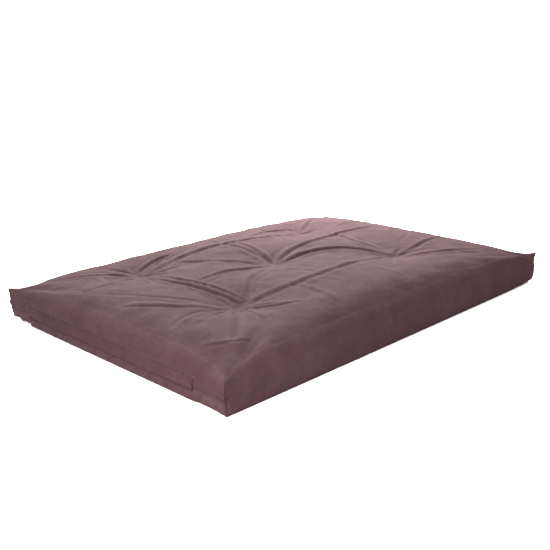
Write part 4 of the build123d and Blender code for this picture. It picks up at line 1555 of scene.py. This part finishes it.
case_points = inner_shell(PAD_GAP, 0.0004, 71)
fill_points = inner_shell(FILL_GAP, 0.0026, 72)
wall_face_row = np.repeat(np.arange(WALL_ROWS), ring_count)
face_part = np.concatenate([np.zeros(first_wall_face), (wall_face_row >= SPLIT_ROW).astype(float),
                            np.ones(TOP_CELLS_X * TOP_CELLS_Y)])


def kept_piece(name, points, faces, finish):
    """A mesh from some faces of the shell, without the points that they don't use."""
    used = np.unique(faces)
    renumber = np.zeros(len(points), dtype=int)
    renumber[used] = np.arange(len(used))
    return make_object(name, points[used], renumber[faces], finish)


for name, part, node in (("ticking_top", 0, "pad_ticking_top"),
                         ("ticking_bottom", 1, "pad_ticking_bottom")):
    case = kept_piece(name, case_points, shell_faces[face_part == part], ticking_paint)
    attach(case, "root")
    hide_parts(node)
fill = make_object("fibre", fill_points, shell_faces, fibre_paint)
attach(fill, "root")
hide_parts("fibre_fill")

# %% Whipped seam round the pad
WHIP_PITCH = 0.007
seam_line = case_points[np.append(wall_ids[SPLIT_ROW], wall_ids[SPLIT_ROW][0])]
seam_out = coarse_normals[np.append(wall_ids[SPLIT_ROW], wall_ids[SPLIT_ROW][0])]
reach_along = np.concatenate([[0], np.cumsum(np.linalg.norm(np.diff(seam_line, axis=0), axis=1))])
whips = []
for number in range(int(reach_along[-1] / WHIP_PITCH)):
    spot = (number + 0.5) * WHIP_PITCH
    here = np.array([np.interp(spot, reach_along, seam_line[:, axis]) for axis in range(3)])
    out = np.array([np.interp(spot, reach_along, seam_out[:, axis]) for axis in range(3)])
    ahead = np.cross(out, [0, 0, 1.0])
    share = np.linspace(-1, 1, 5)[:, None]
    whips.append(tube(here + share * (ahead * 0.0012 + np.array([0, 0, 0.0026]))
                      + out * 0.0007 * (1 - share**2), 0.00035, 5))
whip_seam = gather("pad_seam_whips", whips, thread_paint)
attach(whip_seam, "root")
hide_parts("pad_seam_thread")
print("whip stitches:", len(whips))

# %% [markdown]
# ## Tuft ties and washers
# Each tie is two plies of waxed twine laid round each other, from the cloth underneath to
# the cloth on top.  A felt washer spreads its pull at both ends.

# %% Ties
PLY = 0.00062
LAY_LENGTH = 0.009

for name, tuft in zip(TUFT_NAMES, tufts):
    node = "tuft_tie_" + name
    top_spot, _ = land_on(cover, [(tuft[0], tuft[1], crown_z + 0.03)], (0, 0, -1))
    low_spot, _ = land_on(cover, [(tuft[0], tuft[1], -0.02)], (0, 0, 1))
    ends = (float(low_spot[0, 2]) + 0.0006, float(top_spot[0, 2]) - 0.0006)
    z = np.linspace(ends[0], ends[1], 90)
    plies = []
    for offset in (0.0, math.pi):
        turn = 2 * math.pi * z / LAY_LENGTH + offset
        line = np.stack([tuft[0] + PLY * np.cos(turn), tuft[1] + PLY * np.sin(turn), z], axis=-1)
        plies.append(tube(line, PLY, 7))
    tie = gather("tie_" + name, plies, twine_paint)
    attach(tie, "root")
    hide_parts(node)
print("last tie runs from", round(ends[0], 4), "to", round(ends[1], 4))

# %% Washers


def washer(centre, low, high, seed):
    """A felt disc with a hole: rounded edges and a slightly uneven outline."""
    outer_radius, hole_radius = 0.011, 0.0014
    radii = [hole_radius, hole_radius + 0.0004, 0.004, 0.0075, outer_radius - 0.0006, outer_radius]
    heights = [0.35, 0.95, 1.0, 1.0, 0.9, 0.45]
    turn = np.linspace(0, 2 * math.pi, 40, endpoint=False)
    uneven = 1 + 0.012 * waves(turn, turn * 0, seed, 5, 2, 9)
    thick = high - low
    rings = [(r, low + thick * h) for r, h in zip(radii, heights)]
    rings += [(r, low + thick * (1 - h)) for r, h in zip(radii[::-1], heights[::-1])]
    points = np.vstack([
        np.stack([centre[0] + r * (uneven if r > 0.003 else 1) * np.cos(turn),
                  centre[1] + r * (uneven if r > 0.003 else 1) * np.sin(turn),
                  np.full(40, z)], axis=-1) for r, z in rings
    ])
    count = len(rings)
    faces = [(ring * 40 + s, ((ring + 1) % count) * 40 + s, ((ring + 1) % count) * 40 + (s + 1) % 40,
              ring * 40 + (s + 1) % 40) for ring in range(count) for s in range(40)]
    return points, faces


for name, low, high in (("tuft_washers_top", washer_low[2], washer_high[2]),
                        ("tuft_washers_bottom", under_low[2], under_high[2])):
    discs = [washer(tuft, low, high, 80 + number) for number, tuft in enumerate(tufts)]
    washers = gather(name + "_felt", discs, felt_paint)
    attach(washers, "root")
    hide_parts(name)
print("washers between", round(float(washer_low[2]), 4), "and", round(float(washer_high[2]), 4))
